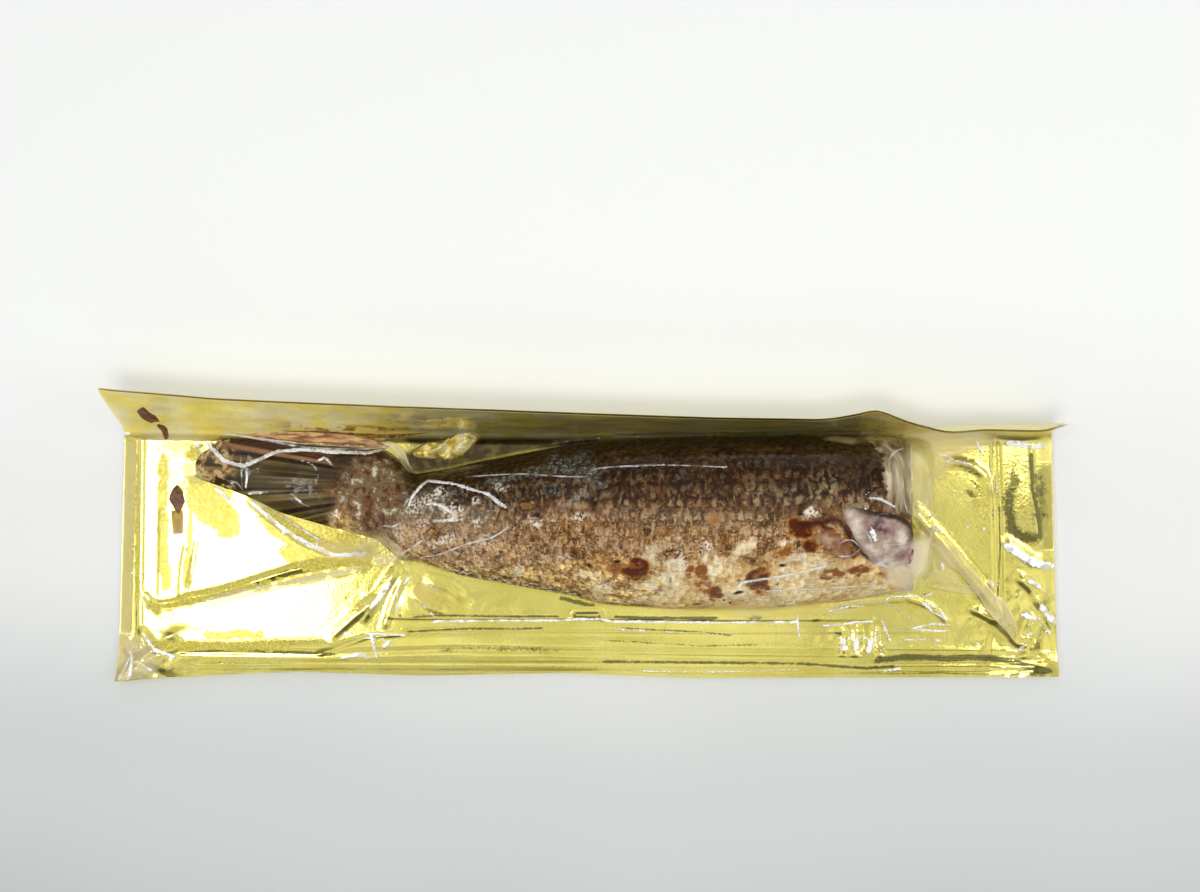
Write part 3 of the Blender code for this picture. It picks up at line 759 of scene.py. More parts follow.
def knurl_at(x, t):
    """The pressed dots of both end seals, the left strip longer than the right one."""
    strips = [
        smooth_step((out - 189.0) / 0.8) * smooth_step((194.4 - out) / 0.6)
        * smooth_step((far - t) / soft) * smooth_step((t - near) / soft)
        for out, near, far, soft in ((-x, -40, 46, 3), (x, -6, 34, 4))
    ]
    return np.maximum(*strips)


def make_foil(material, back_material):
    """The foil's mirroring face with its fields of brine and shade, and its plainer outer face."""
    xs = graded_steps((-HALF_LENGTH, -60, 85, HALF_LENGTH), (198, 153, 161))
    across = graded_steps((0, 0.30, 1, 2, 3), (58, 76, 12, 33))
    x, a = np.meshgrid(xs, across, indexing="ij")
    upper, t = sheet_points(x, a, FOIL_FACE)
    few_x = xs[::5]
    few_a = np.concatenate([across[:132:4], across[132:143], across[143::4]])
    lx, la = np.meshgrid(few_x, few_a, indexing="ij")
    inside_ends = smooth_step((HALF_LENGTH - np.abs(lx)) / 4)
    sunk = smooth_step((la - 0.9) / 0.15) * smooth_step((2.95 - la) / 0.2) * inside_ends
    lower, _ = sheet_points(lx, la, FOIL_BACK - FOIL_SUNK * sunk)
    inside = inside_ends * smooth_step(la / 0.04) * smooth_step((1 - la) / 0.06)
    lower[..., 2] = np.maximum(lower[..., 2] - 0.8 * inside, np.minimum(lower[..., 2], 0.06))
    up_faces = grid_faces(len(xs), len(across))
    low_faces = grid_faces(len(few_x), len(few_a), reverse=True)
    points, faces = join([upper, lower], [up_faces, low_faces])
    fields = {
        "olive": lines_field(x, t, PAINTED_REFLECTION_LINES), "brine": lines_field(x, t, BRINE),
        "shade": lines_field(x, t, SHADE), "rim": rim_at(a), "knurl": knurl_at(x, t),
    }
    none = np.zeros(lx.size)
    foil = make_mesh("gold_foil", points, faces, material, {
        key: np.concatenate([field.reshape(-1), none]) for key, field in fields.items()
    })
    foil.data.materials.append(back_material)
    side = np.zeros(len(faces), np.int32)
    side[len(up_faces):] = 1
    foil.data.polygons.foreach_set("material_index", side)
    return foil


def film_grid(x, a):
    """The film at places of the sheet: on the fish, or else just above the foil."""
    return sheet_points(
        x, a, FILM_LEVEL, FILM_OVERHANG, lambda x, y, z, t: np.where(t < BEND_STARTS, film_surface(x, y, z), z),
    )


# Painted highlights: white streaks painted on the film along its creases and glinting places, as (points, half
# width, strength)
GLEAMS = (
    (TAIL_FORK, 0.85, 0.95), (((-142.5, 34.5), (-140.5, 29.5)), 1.7, 0.9),
    (((-141.8, 30), (-141.6, 25), (-142.6, 20)), 0.7, 0.75),
    (((-139.5, 43.2), (-128, 41.2), (-114.6, 39.8), (-96, 38.8), (-86, 38.6), (-83.4, 39.8)), 0.45, 0.8),
    (((-120, 33.2), (-114, 31.0), (-111.5, 28.0)), 0.5, 0.7),
    (((-113.3, 32.2), (-108.7, 33.6), (-105.2, 30.2)), 0.5, 0.8), (((-122, 17.6), (-117, 14.6)), 0.6, 0.8),
    (((-107, 11.5), (-103.5, 9.2), (-103.8, 13.2)), 0.55, 0.8), (((-152, 24.2), (-146, 23.4)), 0.8, 0.6),
    (((-142.6, 19.2), (-134, 19.6)), 0.6, 0.8), (BLISTER_RIM, 0.62, 0.95), (BLISTER_EYE, 0.62, 0.95),
    (((-29.6, 5.6), (-34.9, 1.7), (-39.9, -0.6), (-47.3, -2.1)), 0.4, 0.6),
    (((-85.2, 5.7), (-79.9, 4.8), (-76.3, 6.3)), 0.5, 0.6), (ROOT_CREASE, 0.5, 0.6), (BELLY_STREAK, 0.5, 0.85),
    (BELLY_LINE, 0.35, 0.6), (CUT_GLINT, 0.6, 0.85), (((110.5, 4.5), (112.5, 0.5), (114.0, -3.5)), 1.3, 0.8),
    (((116.5, -6.5), (120.5, -8.5)), 0.9, 0.7), (((121.9, -8.6), (127.4, -10.1), (131, -12.0)), 0.6, 0.7),
    (((137.5, 1.5), (136.0, -3.5)), 1.3, 0.7), (((-50, 24.8), (-28.3, 25.5), (-12, 24.2)), 0.3, 0.5),
    (((2.2, 26.6), (9.0, 27.8), (30, 28.4), (56.0, 27.5)), 0.32, 0.6),
    (((171.7, -0.3), (174.7, -2.5), (178.4, -4.6), (182.4, -7.2), (185.4, -9.5), (189.1, -10.4),
     (195.3, -11.1)), 1.7, 1), (((173.4, 40.5), (178, 40.5), (186.6, 39.4), (192.9, 39.8)), 1.4, 1),
    (((187.1, 45.7), (192.2, 45.7)), 2.6, 1),
    (((139.4, 12.1), (140.7, 6.7), (144.4, 4.2), (146.9, 2.1)), 1.5, 1),
    (((142.9, 10.9), (146.2, 9.2)), 1, 0.8), (((166, -15.7), (169.7, -21)), 0.9, 0.9),
    (((170.9, -22.4), (170, -27.4)), 0.8, 0.8), (((181.4, -16.4), (184.8, -17.4), (189.7, -21)), 1, 0.9),
    (((186.6, -24.9), (190.3, -31), (193.9, -36.4)), 1.5, 1),
    (((177.8, -30.3), (185.7, -32.5), (189.4, -33.2)), 1, 0.7),
    (((177.3, -47), (180.6, -43.9), (182.9, -42.5)), 1, 0.8), (((110.8, -38.5), (111.4, -48.4)), 1.5, 1),
    (((116.2, -39.4), (116.9, -43.9), (115.1, -48.4)), 1.1, 1), (((119.4, -36.4), (118.4, -45.5)), 0.8, 0.9),
    (((121.7, -32.5), (124, -38.5), (126.1, -43.1)), 0.7, 0.8),
    (((103.2, -41), (106.2, -41.7), (104.4, -46.3)), 1, 0.9),
    (((96.3, -35.6), (104, -35.2), (111.7, -34), (119.4, -33.6)), 0.5, 0.8),
    (((123.1, -25.3), (125.6, -23.7), (133.5, -23.2), (139.6, -23.2), (143.5, -21.8)), 0.5, 0.8),
    (((139.6, -24.9), (145.7, -28.6), (149.4, -33.2), (144.1, -30.3), (137.2, -24.5)), 0.45, 0.8),
    (((133.3, -36.8), (142.4, -37.5), (151.5, -37.9)), 0.45, 0.8),
    (((133.3, -36.8), (142.4, -34.8), (151.6, -35.2)), 0.45, 0.8),
    (((-157.5, 23), (-153.9, 20.1), (-148.2, 14.6), (-142.6, 7.5), (-141.1, 2.1)), 1.0, 1),
    (((-141.9, 16.7), (-135.4, 11.1), (-126.2, 3.8), (-117.2, -1.6), (-106.1, -6.2), (-94.2, -6.2),
     (-90.9, -4.1)), 0.9, 1), (((-185, -51), (-178.3, -55.3)), 0.7, 0.9),
    (((-189, -58.9), (-187.8, -50), (-190.1, -44.7)), 0.9, 0.9),
    (((-185.1, -38.5), (-179.3, -45.5), (-169.9, -49.2)), 0.7, 0.9),
    (((-177.6, -36.5), (-178.6, -43.5)), 0.6, 0.6),
    (((-193.1, -59.3), (-190.9, -53.6), (-189.1, -47.6)), 0.8, 0.8), (((-90.3, -37.7), (-87.2, -50)), 0.6, 0.9),
    (((-103.3, -49.2), (-94.5, -47.5), (-89, -49.6)), 0.9, 0.9), (((-85.7, -45.5), (-81.3, -41.2)), 1, 0.9),
    (((-102.1, -38.5), (-88.4, -38.9), (-75.1, -39.4)), 0.45, 0.8),
    (((-98.7, -40.6), (-84.2, -41.2)), 0.4, 0.6), (((-91.4, -29.4), (-86.9, -24.1), (-81.6, -16.1)), 1.1, 0.8),
    (((-78.8, -16.1), (-79.5, -30.5)), 0.5, 0.8), (((-74.1, -14.5), (-77.4, -19.9)), 0.8, 0.7),
    (((-65.6, -34.4), (-61.4, -33.6), (-36.5, -33.4), (-11.6, -33.4), (-5.4, -32.8), (5, -32.8),
     (10, -33.8), (54.8, -34.2), (88, -34)), 0.55, 0.9),
    (((-73.6, -24.9), (-67.7, -27.8), (-62.3, -27), (-63.2, -20.8), (-67.8, -17.4)), 0.6, 0.5),
    (((-33.2, -25.3), (-29.5, -23.7)), 0.9, 0.6), (((-65.6, -29.4), (-63.9, -32.3)), 0.5, 0.6),
    (((5, -36.5), (46.5, -38.9), (71.4, -39.8)), 0.5, 0.5), (((86.8, -29.9), (87.5, -41.4)), 0.6, 0.8),
    (((129.4, -41.4), (141.9, -41.4), (148.1, -42.2)), 0.9, 0.6), (((159.3, -41.4), (164.5, -44.7)), 1, 0.7),
    (((145.4, 35.6), (150.4, 35.6), (153.7, 33.5)), 0.5, 0.9),
    (((148.3, 31.8), (151.6, 33.5), (156.7, 32.7), (162.1, 31)), 0.6, 0.9),
    (((162.7, 41.9), (165.1, 36.9), (163.8, 34.4)), 0.6, 0.7), (((156.9, 45.7), (160.2, 41.5)), 0.5, 0.6),
    (((169.3, 37.7), (168.7, 8.4)), 0.35, 0.6), (((171.3, 41.9), (171, 16.7)), 0.35, 0.5),
    (((146.2, -8.7), (148.2, -13.3)), 0.6, 0.8), (((-196.4, 45.3), (-190.6, 45.3)), 1, 0.8),
    (((-167, 41.5), (-162.7, 39.4), (-159.7, 33.9)), 1.3, 0.7), (((-169.8, 37.7), (-167.5, 29.3)), 0.6, 0.6),
    (((-119.6, -33.2), (-107.2, -29.9), (-98.1, -28.2)), 0.6, 0.4),
    (((21.5, -54.5), (46.3, -54.9), (87.6, -54.1)), 0.5, 0.6), (((120.6, -54.5), (131, -53.3)), 0.8, 0.7),
    (((98.9, -29.9), (108.9, -27.4), (117.2, -27.4)), 0.6, 0.6),
)

# Milky places of the film, as (X, distance along the sheet, half length, half width, turn, strength, warmth)
HAZE = (
    (151, 43, 27, 10, 3, 0.62, 0.45), (140, 33, 14, 12, 0, 0.45, 0.5), (133, 22, 6.0, 20, 0, 0.4, 0.35),
    (134, -8, 7, 12, 0, 0.68, 0.1), (128, -16, 11, 6, -20, 0.6, 0.1), (146, -8, 10, 7, -42, 0.35, 0.4),
    (147, -15, 8, 5, 0, 0.4, 0.5), (-172, 47, 24, 10, 0, 0.45, 0.8), (-90, -3, 10, 5, 28, 0.45, 0.5),
    (-84, -8, 6, 4, 0, 0.4, 0.2), (125, 24, 5, 15, 0, 0.22, 0.1), (76, -29, 62, 3.0, 1, 0.42, 0.85),
    (-103, -5, 14, 5, -10, 0.45, 0.8), (-165, 28, 8, 5, -30, 0.4, 0.9), (-188, -50, 12, 14, 30, 0.4, 0.2),
    (141, 20, 6, 20, 0, 0.45, 0.25), (-66, 13, 14, 8, 20, 0.08, 0.0), (-48, 7, 16, 8, 5, 0.08, 0.0),
    (104, 41, 10, 3.2, 0, 0.4, 0.9), (120, 42, 10, 3, 0, 0.3, 0.7), (-70, -22, 14, 6, -10, 0.35, 0.85),
)
# How milky the film is along the standing side, by X: a painted reflection that gives the gold wall the tan it
# would mirror
WALL_PAINTED_REFLECTION = (
    (-200, 0.84), (-150, 0.95), (-115, 0.94), (-95, 0.74), (-70, 0.44), (-40, 0.3), (60, 0.2), (110, 0.2),
    (130, 0.5), (195, 0.6),
)


def haze_at(x, t):
    """How milky the film is, and how warm: brine and fat lie behind it, it bridges to the foil, and along the
    standing side it is painted reflection.
    """
    haze, warm = np.zeros_like(x), np.full_like(x, 0.5)
    u = x + 2.5 * layered_noise(x, t, 9, 3, 201)
    v = t + 2.0 * layered_noise(x, t, 9, 3, 203)
    for *shape, strength, warmth in HAZE:
        one = oval(u, v, *shape, strength, slope=0.5)
        warm = np.where(one > haze, warmth, warm)
        haze = np.maximum(haze, one)
    haze = np.maximum(haze, 0.32 * smooth_step((-187.5 - x) / 3) * smooth_step((44 - t) / 4))
    uneven = 0.97 + 0.22 * layered_noise(x * 0.5, t, 9, 2, 205)
    wall = smooth_step((t - 42) / 5) * along(WALL_PAINTED_REFLECTION, x, 10) * uneven
    warm = np.where(wall > haze, 0.95 - 0.22 * oval(u, v, -140, 60, 26, 14, 0, 1.0, 0.8), warm)
    return np.clip(np.maximum(haze, wall), 0, MOST_HAZE), warm


def rust_at(x, t):
    """Brown brine on the standing side, mostly near its foot by the root of the tail."""
    foot = oval(x, t, -98, 50, 36, 7, 0, 1.0, 0.8) + 0.5 * oval(x, t, -122, 54, 18, 6, 0, 1.0, 0.8)
    return np.clip(foot + 0.5 * oval(x, t, -70, 60, 26, 14, 0, 1.0, 0.8), 0, 1)


def dull_at(x, t):
    """Where salt and brine wet the film from inside and dull its shine."""
    dull = np.maximum(oval(x, t, -120, 31, 26, 11, 0, 1.0, 0.8), oval(x, t, 4, 11.5, 26, 5.5, 0, 1.0, 0.8))
    dull = np.maximum(dull, 0.85 * oval(x, t, 50, 29, 70, 6.0, 0, 1.0, 0.8))
    dull = np.maximum(dull, 0.62 * smooth_step((body_height(x, t) - 4) / 8))
    dull = np.maximum(dull, np.clip(1.6 * lines_field(x, t, BRINE), 0, 0.95))
    return np.maximum(dull, oval(x, t, -171.8, 13, 5, 13, 0, 1.0, 0.5))


# Crumpled places where small glints are painted on the film, as (X, distance along the sheet, half length, half
# width, turn, strength, softness)
GLINTING = (
    (181, -37, 14, 10, 0, 1.0, 0.6), (112, -43, 26, 7, 0, 0.8, 0.6), (163, -22, 16, 16, 0, 0.7, 0.7),
    (-124, 2, 26, 7, -28, 0.8, 0.6), (160, 6, 10, 5, -20, 0.7, 0.6), (-183, -46, 10, 10, 0, 0.8, 0.6),
    (-189.6, -8, 1.6, 13, 0, 1.0, 0.5), (-98, -20, 6, 12, 0, 0.6, 0.5),
)


def sparkle_at(x, t):
    """Small painted glints of the crumpled places."""
    near = sum(oval(x, t, *shape) for shape in GLINTING)
    fine = noise(x / 1.3, t / 1.3, 211) + 0.5 * noise(x / 0.7, t / 0.7, 213)
    return np.clip(near, 0, 1) * smooth_step((fine - 0.45) / 0.35) * 0.8


def make_film(material):
    """The film over fish and foil in one sheet, milky along its rim and its right end."""
    xs = graded_steps((-HALF_LENGTH, -55, 85, HALF_LENGTH), (208, 150, 164))
    across = graded_steps((0, 0.30, 1, 2, 3), (50, 96, 11, 29))
    x, a = np.meshgrid(xs, across, indexing="ij")
    points, t = film_grid(x, a)
    haze, warm = haze_at(x, t)
    outer = smooth_step((x - HALF_LENGTH + 0.9) / 0.5) * smooth_step((2 - a) / 0.2)
    haze = np.maximum(haze, 0.45 * outer)
    rim = rim_at(a)
    return make_mesh("clear_film", points, grid_faces(len(xs), len(across)), material, {
        "haze": np.maximum(haze, 0.9 * rim), "warm": np.where(rim > 0.3, 0.8, np.where(outer > 0.3, 0.0, warm)),
        "gleam": np.maximum(lines_field(x, t, GLEAMS), sparkle_at(x, t)), "rust": rust_at(x, t),
        "dull": dull_at(x, t),
    })


# The fish
ROWS_OF_SCALES = 21.0
FISH_GAP = 0.55  # between the fish and the film
EDGE_LEVEL = 1.15
LOWEST_LEVEL = 1.1
UNDER_LEVEL = 0.95
POINTS_OVER = 156  # over the fish in each section
POINTS_UNDER = 20
FLESH_END_X = 134.0  # the cut flesh slopes down to here
SKIN_END_X = 119.3  # the skin stops here on the upper half


def share_across(x, y):
    """0 at the belly's edge and 1 at the back's, seen from above."""
    back, belly = along(BACK_Y, x), along(BELLY_Y, x)
    return (y - belly) / (back - belly)


def fish_top(x, y):
    z = body_height(x, y, 0.15) - FISH_GAP
    upper = smooth_step((y - 6) / 6)
    slope = smooth_step((FLESH_END_X + 3 - x) / (FLESH_END_X + 3 - SKIN_END_X))
    z = z * (1 - upper + upper * (0.45 + 0.55 * slope))
    end = np.clip((FLESH_END_X + 1.5 * noise(y / 6, 0 * y, 141) - x) / 7, 0, 1)
    return z * (1 - (1 - end) ** 2.5) ** 0.5


def fish_rings():
    """Points of the fish with even steps round each section, as X, Y, Z and the share of the arc."""
    xs = graded_steps((TAIL_TIP_X + 0.4, -70, FLESH_END_X + 1.2), (170, 360))
    side = -np.cos(np.linspace(0, math.pi, 241))
    x, s = np.meshgrid(xs, side, indexing="ij")
    back, belly = along(BACK_Y, x), along(BELLY_Y, x)
    y = (back + belly) / 2 + (back - belly) / 2 * s
    z = np.maximum(fish_top(x, y), EDGE_LEVEL)
    steps = np.hypot(np.diff(y, axis=1), np.diff(z, axis=1))
    length = np.concatenate([np.zeros((len(xs), 1)), np.cumsum(steps, axis=1)], axis=1)
    out_y, out_z = np.empty((len(xs), POINTS_OVER)), np.empty((len(xs), POINTS_OVER))
    for k in range(len(xs)):
        even = np.linspace(0, length[k, -1], POINTS_OVER)
        out_y[k] = np.interp(even, length[k], y[k])
        out_z[k] = np.interp(even, length[k], z[k])
    arc = np.broadcast_to(np.linspace(0, 1, POINTS_OVER), out_y.shape)
    return np.broadcast_to(xs[:, None], out_y.shape), out_y, out_z, arc


def scales(u, v):
    """Relief of overlapping scales whose free edges point to the tail, and the grooves between them."""
    relief, groove = np.zeros_like(u), np.zeros_like(u)
    reach_u, reach_v = 0.90, 0.60
    row = np.floor(v + 0.5)
    best_u = np.full(u.shape, -FAR)
    for dr in (-1, 0, 1):
        r = row + dr
        shift = 0.5 * (np.abs(r) % 2)
        column = np.floor(u - shift + 0.5)
        for dc in (-1, 0, 1):
            c = column + dc
            cu = c + shift + 0.14 * lattice(c, r, 3)
            cv = r + 0.08 * lattice(c, r, 4)
            du, dv = (u - cu) / reach_u, (v - cv) / reach_v
            inside = 1 - np.hypot(du, dv)
            covers = (inside > 0) & (cu > best_u)
            edge = np.where(du < 0.2, inside, 1.0)
            relief = np.where(covers, 0.55 - 0.5 * du, relief)
            groove = np.where(covers, np.clip(1 - edge / 0.13, 0, 1), groove)
            best_u = np.where(covers, cu, best_u)
    return relief, groove


def spots(x, y, shapes, ragged=0.35, size=5.0, seed=71, slope=0.6):
    wobble_x = ragged * size * layered_noise(x, y, size, 3, seed)
    wobble_y = ragged * size * layered_noise(x, y, size, 3, seed + 9)
    field = np.zeros_like(x)
    for shape in shapes:
        field = np.maximum(field, oval(x + wobble_x, y + wobble_y, *shape, slope=slope))
    return field


# Places on the fish, as (X, Y, half length, half width, turn in degrees, strength)
STAINS = (
    (19.0, -12.8, 7.5, 4.8, 5, 1.0), (11.0, -12.0, 5.0, 3.0, 20, 0.5), (44.0, -13.5, 6.0, 5.5, 0, 0.6),
    (51.0, -22.0, 6.5, 4.5, -20, 0.75), (46.0, -18.0, 7.0, 4.0, -35, 0.5), (67.5, -16.5, 7.5, 5.5, 10, 1.0),
    (70.0, -21.0, 5.0, 3.0, 0, 0.7), (84.0, 3.5, 8.0, 5.5, -10, 1.0), (94.0, 2.5, 7.0, 4.0, -20, 0.9),
    (88.0, -3.5, 4.0, 4.0, 0, 0.9), (100.0, -3.0, 9.0, 3.4, -40, 0.8), (5.0, -9.0, 5.0, 4.0, 0, 0.4),
    (104.5, -6.5, 5.0, 3.5, 0, 0.8), (109.0, -13.0, 9.0, 2.6, 5, 0.7), (97.0, -14.5, 9.0, 3.0, 0, 0.6),
    (120.0, -14.5, 5.0, 2.5, 0, 0.5), (-24.0, 13.0, 4.0, 2.0, 0, 0.6), (-4.0, 12.0, 5.0, 2.5, 0, 0.4),
    (50.0, 6.0, 5.0, 4.5, 0, 0.35), (-55.0, -2.0, 9.0, 3.0, 15, 0.3), (78.0, -6.0, 7.0, 3.0, 10, 0.5),
)
CREAM = (
    (30, -17, 14, 5.5, 6, 0.9), (50, -12, 10, 7, 10, 1.0), (70, -19, 18, 5.0, 2, 1.0),
    (96, -14, 14, 6.0, 4, 0.9), (0, -14, 7, 6, 0, 0.8), (24, -9, 8, 6, 0, 0.7), (37, -13, 6, 7, 70, 1.0),
    (29, -22, 14, 4.5, 6, 0.9), (6, -20, 8, 4.5, 20, 0.8), (60, -7, 11, 3.5, 15, 0.85),
    (85, -8.5, 9, 5.5, 0, 1.0), (84, -16, 16, 5.5, 0, 1.0), (96, -22, 32, 4.5, 3, 0.9),
    (70, -25.5, 24, 3.4, 0, 1.0), (115, -18, 18, 4.5, 5, 0.9), (57, -12, 6, 4, 0, 0.5),
    (-13, 9.5, 3.4, 2.0, 0, 0.9), (126, -5, 6, 6, 0, 0.8), (-20, 8, 9, 3, 0, 0.3), (-32, -14, 10, 3, -12, 0.4),
    (89, 9, 5, 2.4, 15, 0.8), (78, -1.5, 6, 3, 10, 0.8), (100, 0.5, 4, 3, -50, 0.4), (33, -4, 9, 3, 8, 0.3),
    (108, -20, 24, 5, 4, 1.0), (90, -10, 14, 4, 0, 0.9), (60, -24, 20, 4, 0, 1.0),
)
MAUVE = (
    (-76, 3, 20, 12, -10, 1.0), (-50, -6, 26, 9, -12, 1.0), (-20, -6, 20, 8, -4, 0.85), (20, -5, 26, 5, 0, 0.6),
    (38, 7, 46, 6.5, -1, 1.0), (-35, 2, 26, 7, 12, 0.8), (-62, 4, 16, 12, 20, 0.6), (70, 2, 16, 5, 0, 0.7),
    (10, -3, 20, 6, 0, 0.7), (48, -4, 14, 4, 0, 0.5),
)
BLUE = (
    (-8, 31, 12, 6, 10, 1.0), (-1, 25, 8, 5, 30, 1.0), (-28, 25, 16, 4, 8, 0.9), (-3, 14, 5, 4, 0, 0.8),
    (-55, 18, 11, 3.5, 10, 0.7), (-14, 20, 9, 4, 0, 0.8), (2, 20, 7, 3, 0, 0.8), (38, 22, 4, 4, 0, 0.5),
)
GREY = (
    (-66, 14, 15, 9, 15, 1.0), (-48, 6, 14, 5, 0, 0.6), (86, 16, 18, 6, 4, 0.8), (-4, 17, 12, 5, 0, 0.5),
    (-45, 12, 30, 14, 14, 0.5), (93, 19, 15, 7, 6, 1.0), (80, 13, 12, 5, 10, 0.8), (108, 12, 9, 5, 0, 0.9),
    (110, 39, 9, 3, 0, 0.8), (64, 18, 12, 7, 0, 0.5), (114, 26, 3, 12, 0, 0.5), (97, 32, 8, 4, -20, 0.4),
)
WARM = (
    (45, -6, 32, 4.5, 2, 0.5), (40, 13, 40, 5, -1, 0.7), (25, 21, 24, 5, 0, 0.6), (60, 20, 16, 8, 0, 0.9),
    (34, 18, 14, 6, 0, 0.7), (55, 28, 30, 5, 0, 0.5), (92, 7, 10, 4, 0, 0.8), (-16, 13, 8, 2.5, 0, 0.8),
)
DRIPS = ((107, 27, 13, 12, 0, 1.0), (95, 33, 14, 8, 0, 0.6))
WHITE_BITS = (
    (-58, -1.5, 9, 3.4, 16, 1.0), (-52, 9, 4, 3, 0, 1.0), (-62, 17, 9, 4, 20, 1.0), (-71, 13, 6, 6, 0, 0.9),
    (-56, 12, 6, 4, 0, 0.9), (-44, 7, 4, 3, 0, 0.9), (-66, 7, 3, 5, 0, 0.7), (-78, 4, 5, 5, 0, 0.7),
    (-84, 8, 6, 6, 0, 0.6), (-45, 14, 3, 2, 0, 0.9), (-20, 6.5, 4, 2.4, 0, 1.0), (-28, -13, 3.5, 2.6, 0, 1.0),
    (88, 9.5, 5, 2, 15, 0.9), (96, 4, 5, 2, -30, 0.5), (-3, 8, 5, 2, 0, 0.7), (-35, 20, 4, 2, 0, 0.6),
    (-95, 18, 6, 8, 0, 0.5), (37, -10, 4, 7, 30, 0.9), (46, -4, 5, 3, 40, 0.9), (86, -5.5, 3, 2.4, 0, 0.9),
    (8, -19, 8, 3.5, 10, 0.7), (-9, -8, 3, 2, 0, 0.6), (-40, -2, 5, 3, 0, 0.5), (26, -20, 5, 2.5, 0, 0.5),
)
DOME = ((95, -1.5, 8, 4.2, -25, 1.0), (101, -6, 5, 4, -40, 0.8))
WEDGE = ((80.5, 3.2), (86, 4.6), (92, 5.4), (98, 6.8), (101, 4.2))
SPECKS = (
    (3.0, 12.8, 1.2, 0.9, 0, 1), (-20.0, 8.6, 2.0, 1.5, 0, 1), (11.7, -9.5, 2.2, 1.0, 10, 1),
    (76.2, -18.5, 0.8, 0.7, 0, 1), (55.8, -24.9, 1.0, 0.7, 0, 1), (58.4, -26.1, 0.8, 0.7, 0, 1),
    (77.2, -11.4, 2.6, 0.9, 12, 1), (61.0, -22.0, 3.0, 1.0, 12, 1), (40.0, 12.0, 1.2, 0.7, 0, 0.7),
    (84.0, 8.6, 2.0, 1.3, 0, 1), (33.0, -17.0, 0.8, 2.0, 0, 0.6), (60.5, -17.0, 0.9, 1.0, 0, 0.8),
    (93.0, 8.6, 2.4, 0.9, -10, 0.9), (99.0, -7.8, 2.0, 0.6, 0, 0.8), (-52, 18.6, 1.6, 1.0, 0, 0.8),
    (-47.5, 14.0, 1.4, 2.4, 0, 0.8), (22.0, 2.5, 0.9, 0.6, 0, 0.7), (-14.0, 5.5, 1.4, 0.7, 0, 0.6),
    (104, -16, 1.2, 0.6, 0, 0.7), (99, -17.5, 1.0, 0.6, 0, 0.7), (45, -26.5, 3.0, 0.5, 0, 0.6),
    (80, -27.3, 4.0, 0.5, 0, 0.6),
)
SLIT = ((97.0, 8.4), (101.1, 3.6), (105.3, -2.6), (109.9, -6.8), (115.4, -9.8))
MAROON = ((-112, 34.5, 16, 4, -2, 1.0), (-138, 38.5, 22, 5, -6, 1.0), (-96, 31, 8, 4, 0, 0.5))
SLATE = ((-125, 25.5, 17, 4, -6, 1.0), (-131, 19.5, 9, 3, -10, 0.8), (-118, 30, 10, 2, 0, 0.4))
BELLY_FIN = (
    (-51, -14.2, 7, 2.6, -16, 1.0), (-38, -17.4, 13, 2.2, -12, 1.0), (-20, -20.4, 14, 1.9, -10, 1.0),
    (-5, -22.6, 6, 1.3, -14, 0.8),
)

# Fields painted there, as (places, raggedness, size of the rags, seed, softness of the border)
PAINT = {
    "stain": (STAINS, 0.5, 5.0), "cream": (CREAM, 0.8, 6.0, 81), "mauve": (MAUVE, 0.5, 8.0, 85),
    "blue": (BLUE, 0.6, 7.0, 87), "grey": (GREY, 0.7, 8.0, 88, 0.7), "warm": (WARM, 0.6, 6.0, 90, 0.8),
    "speck": (SPECKS, 0.25, 1.6, 89), "drips": (DRIPS, 0.3, 6.0, 83, 0.5),
    "white": (WHITE_BITS, 0.8, 4.0, 84, 0.8), "fin": (BELLY_FIN, 0.3, 3.0, 131),
    "maroon": (MAROON, 0.4, 5.0, 137), "slate": (SLATE, 0.4, 5.0, 139),
}


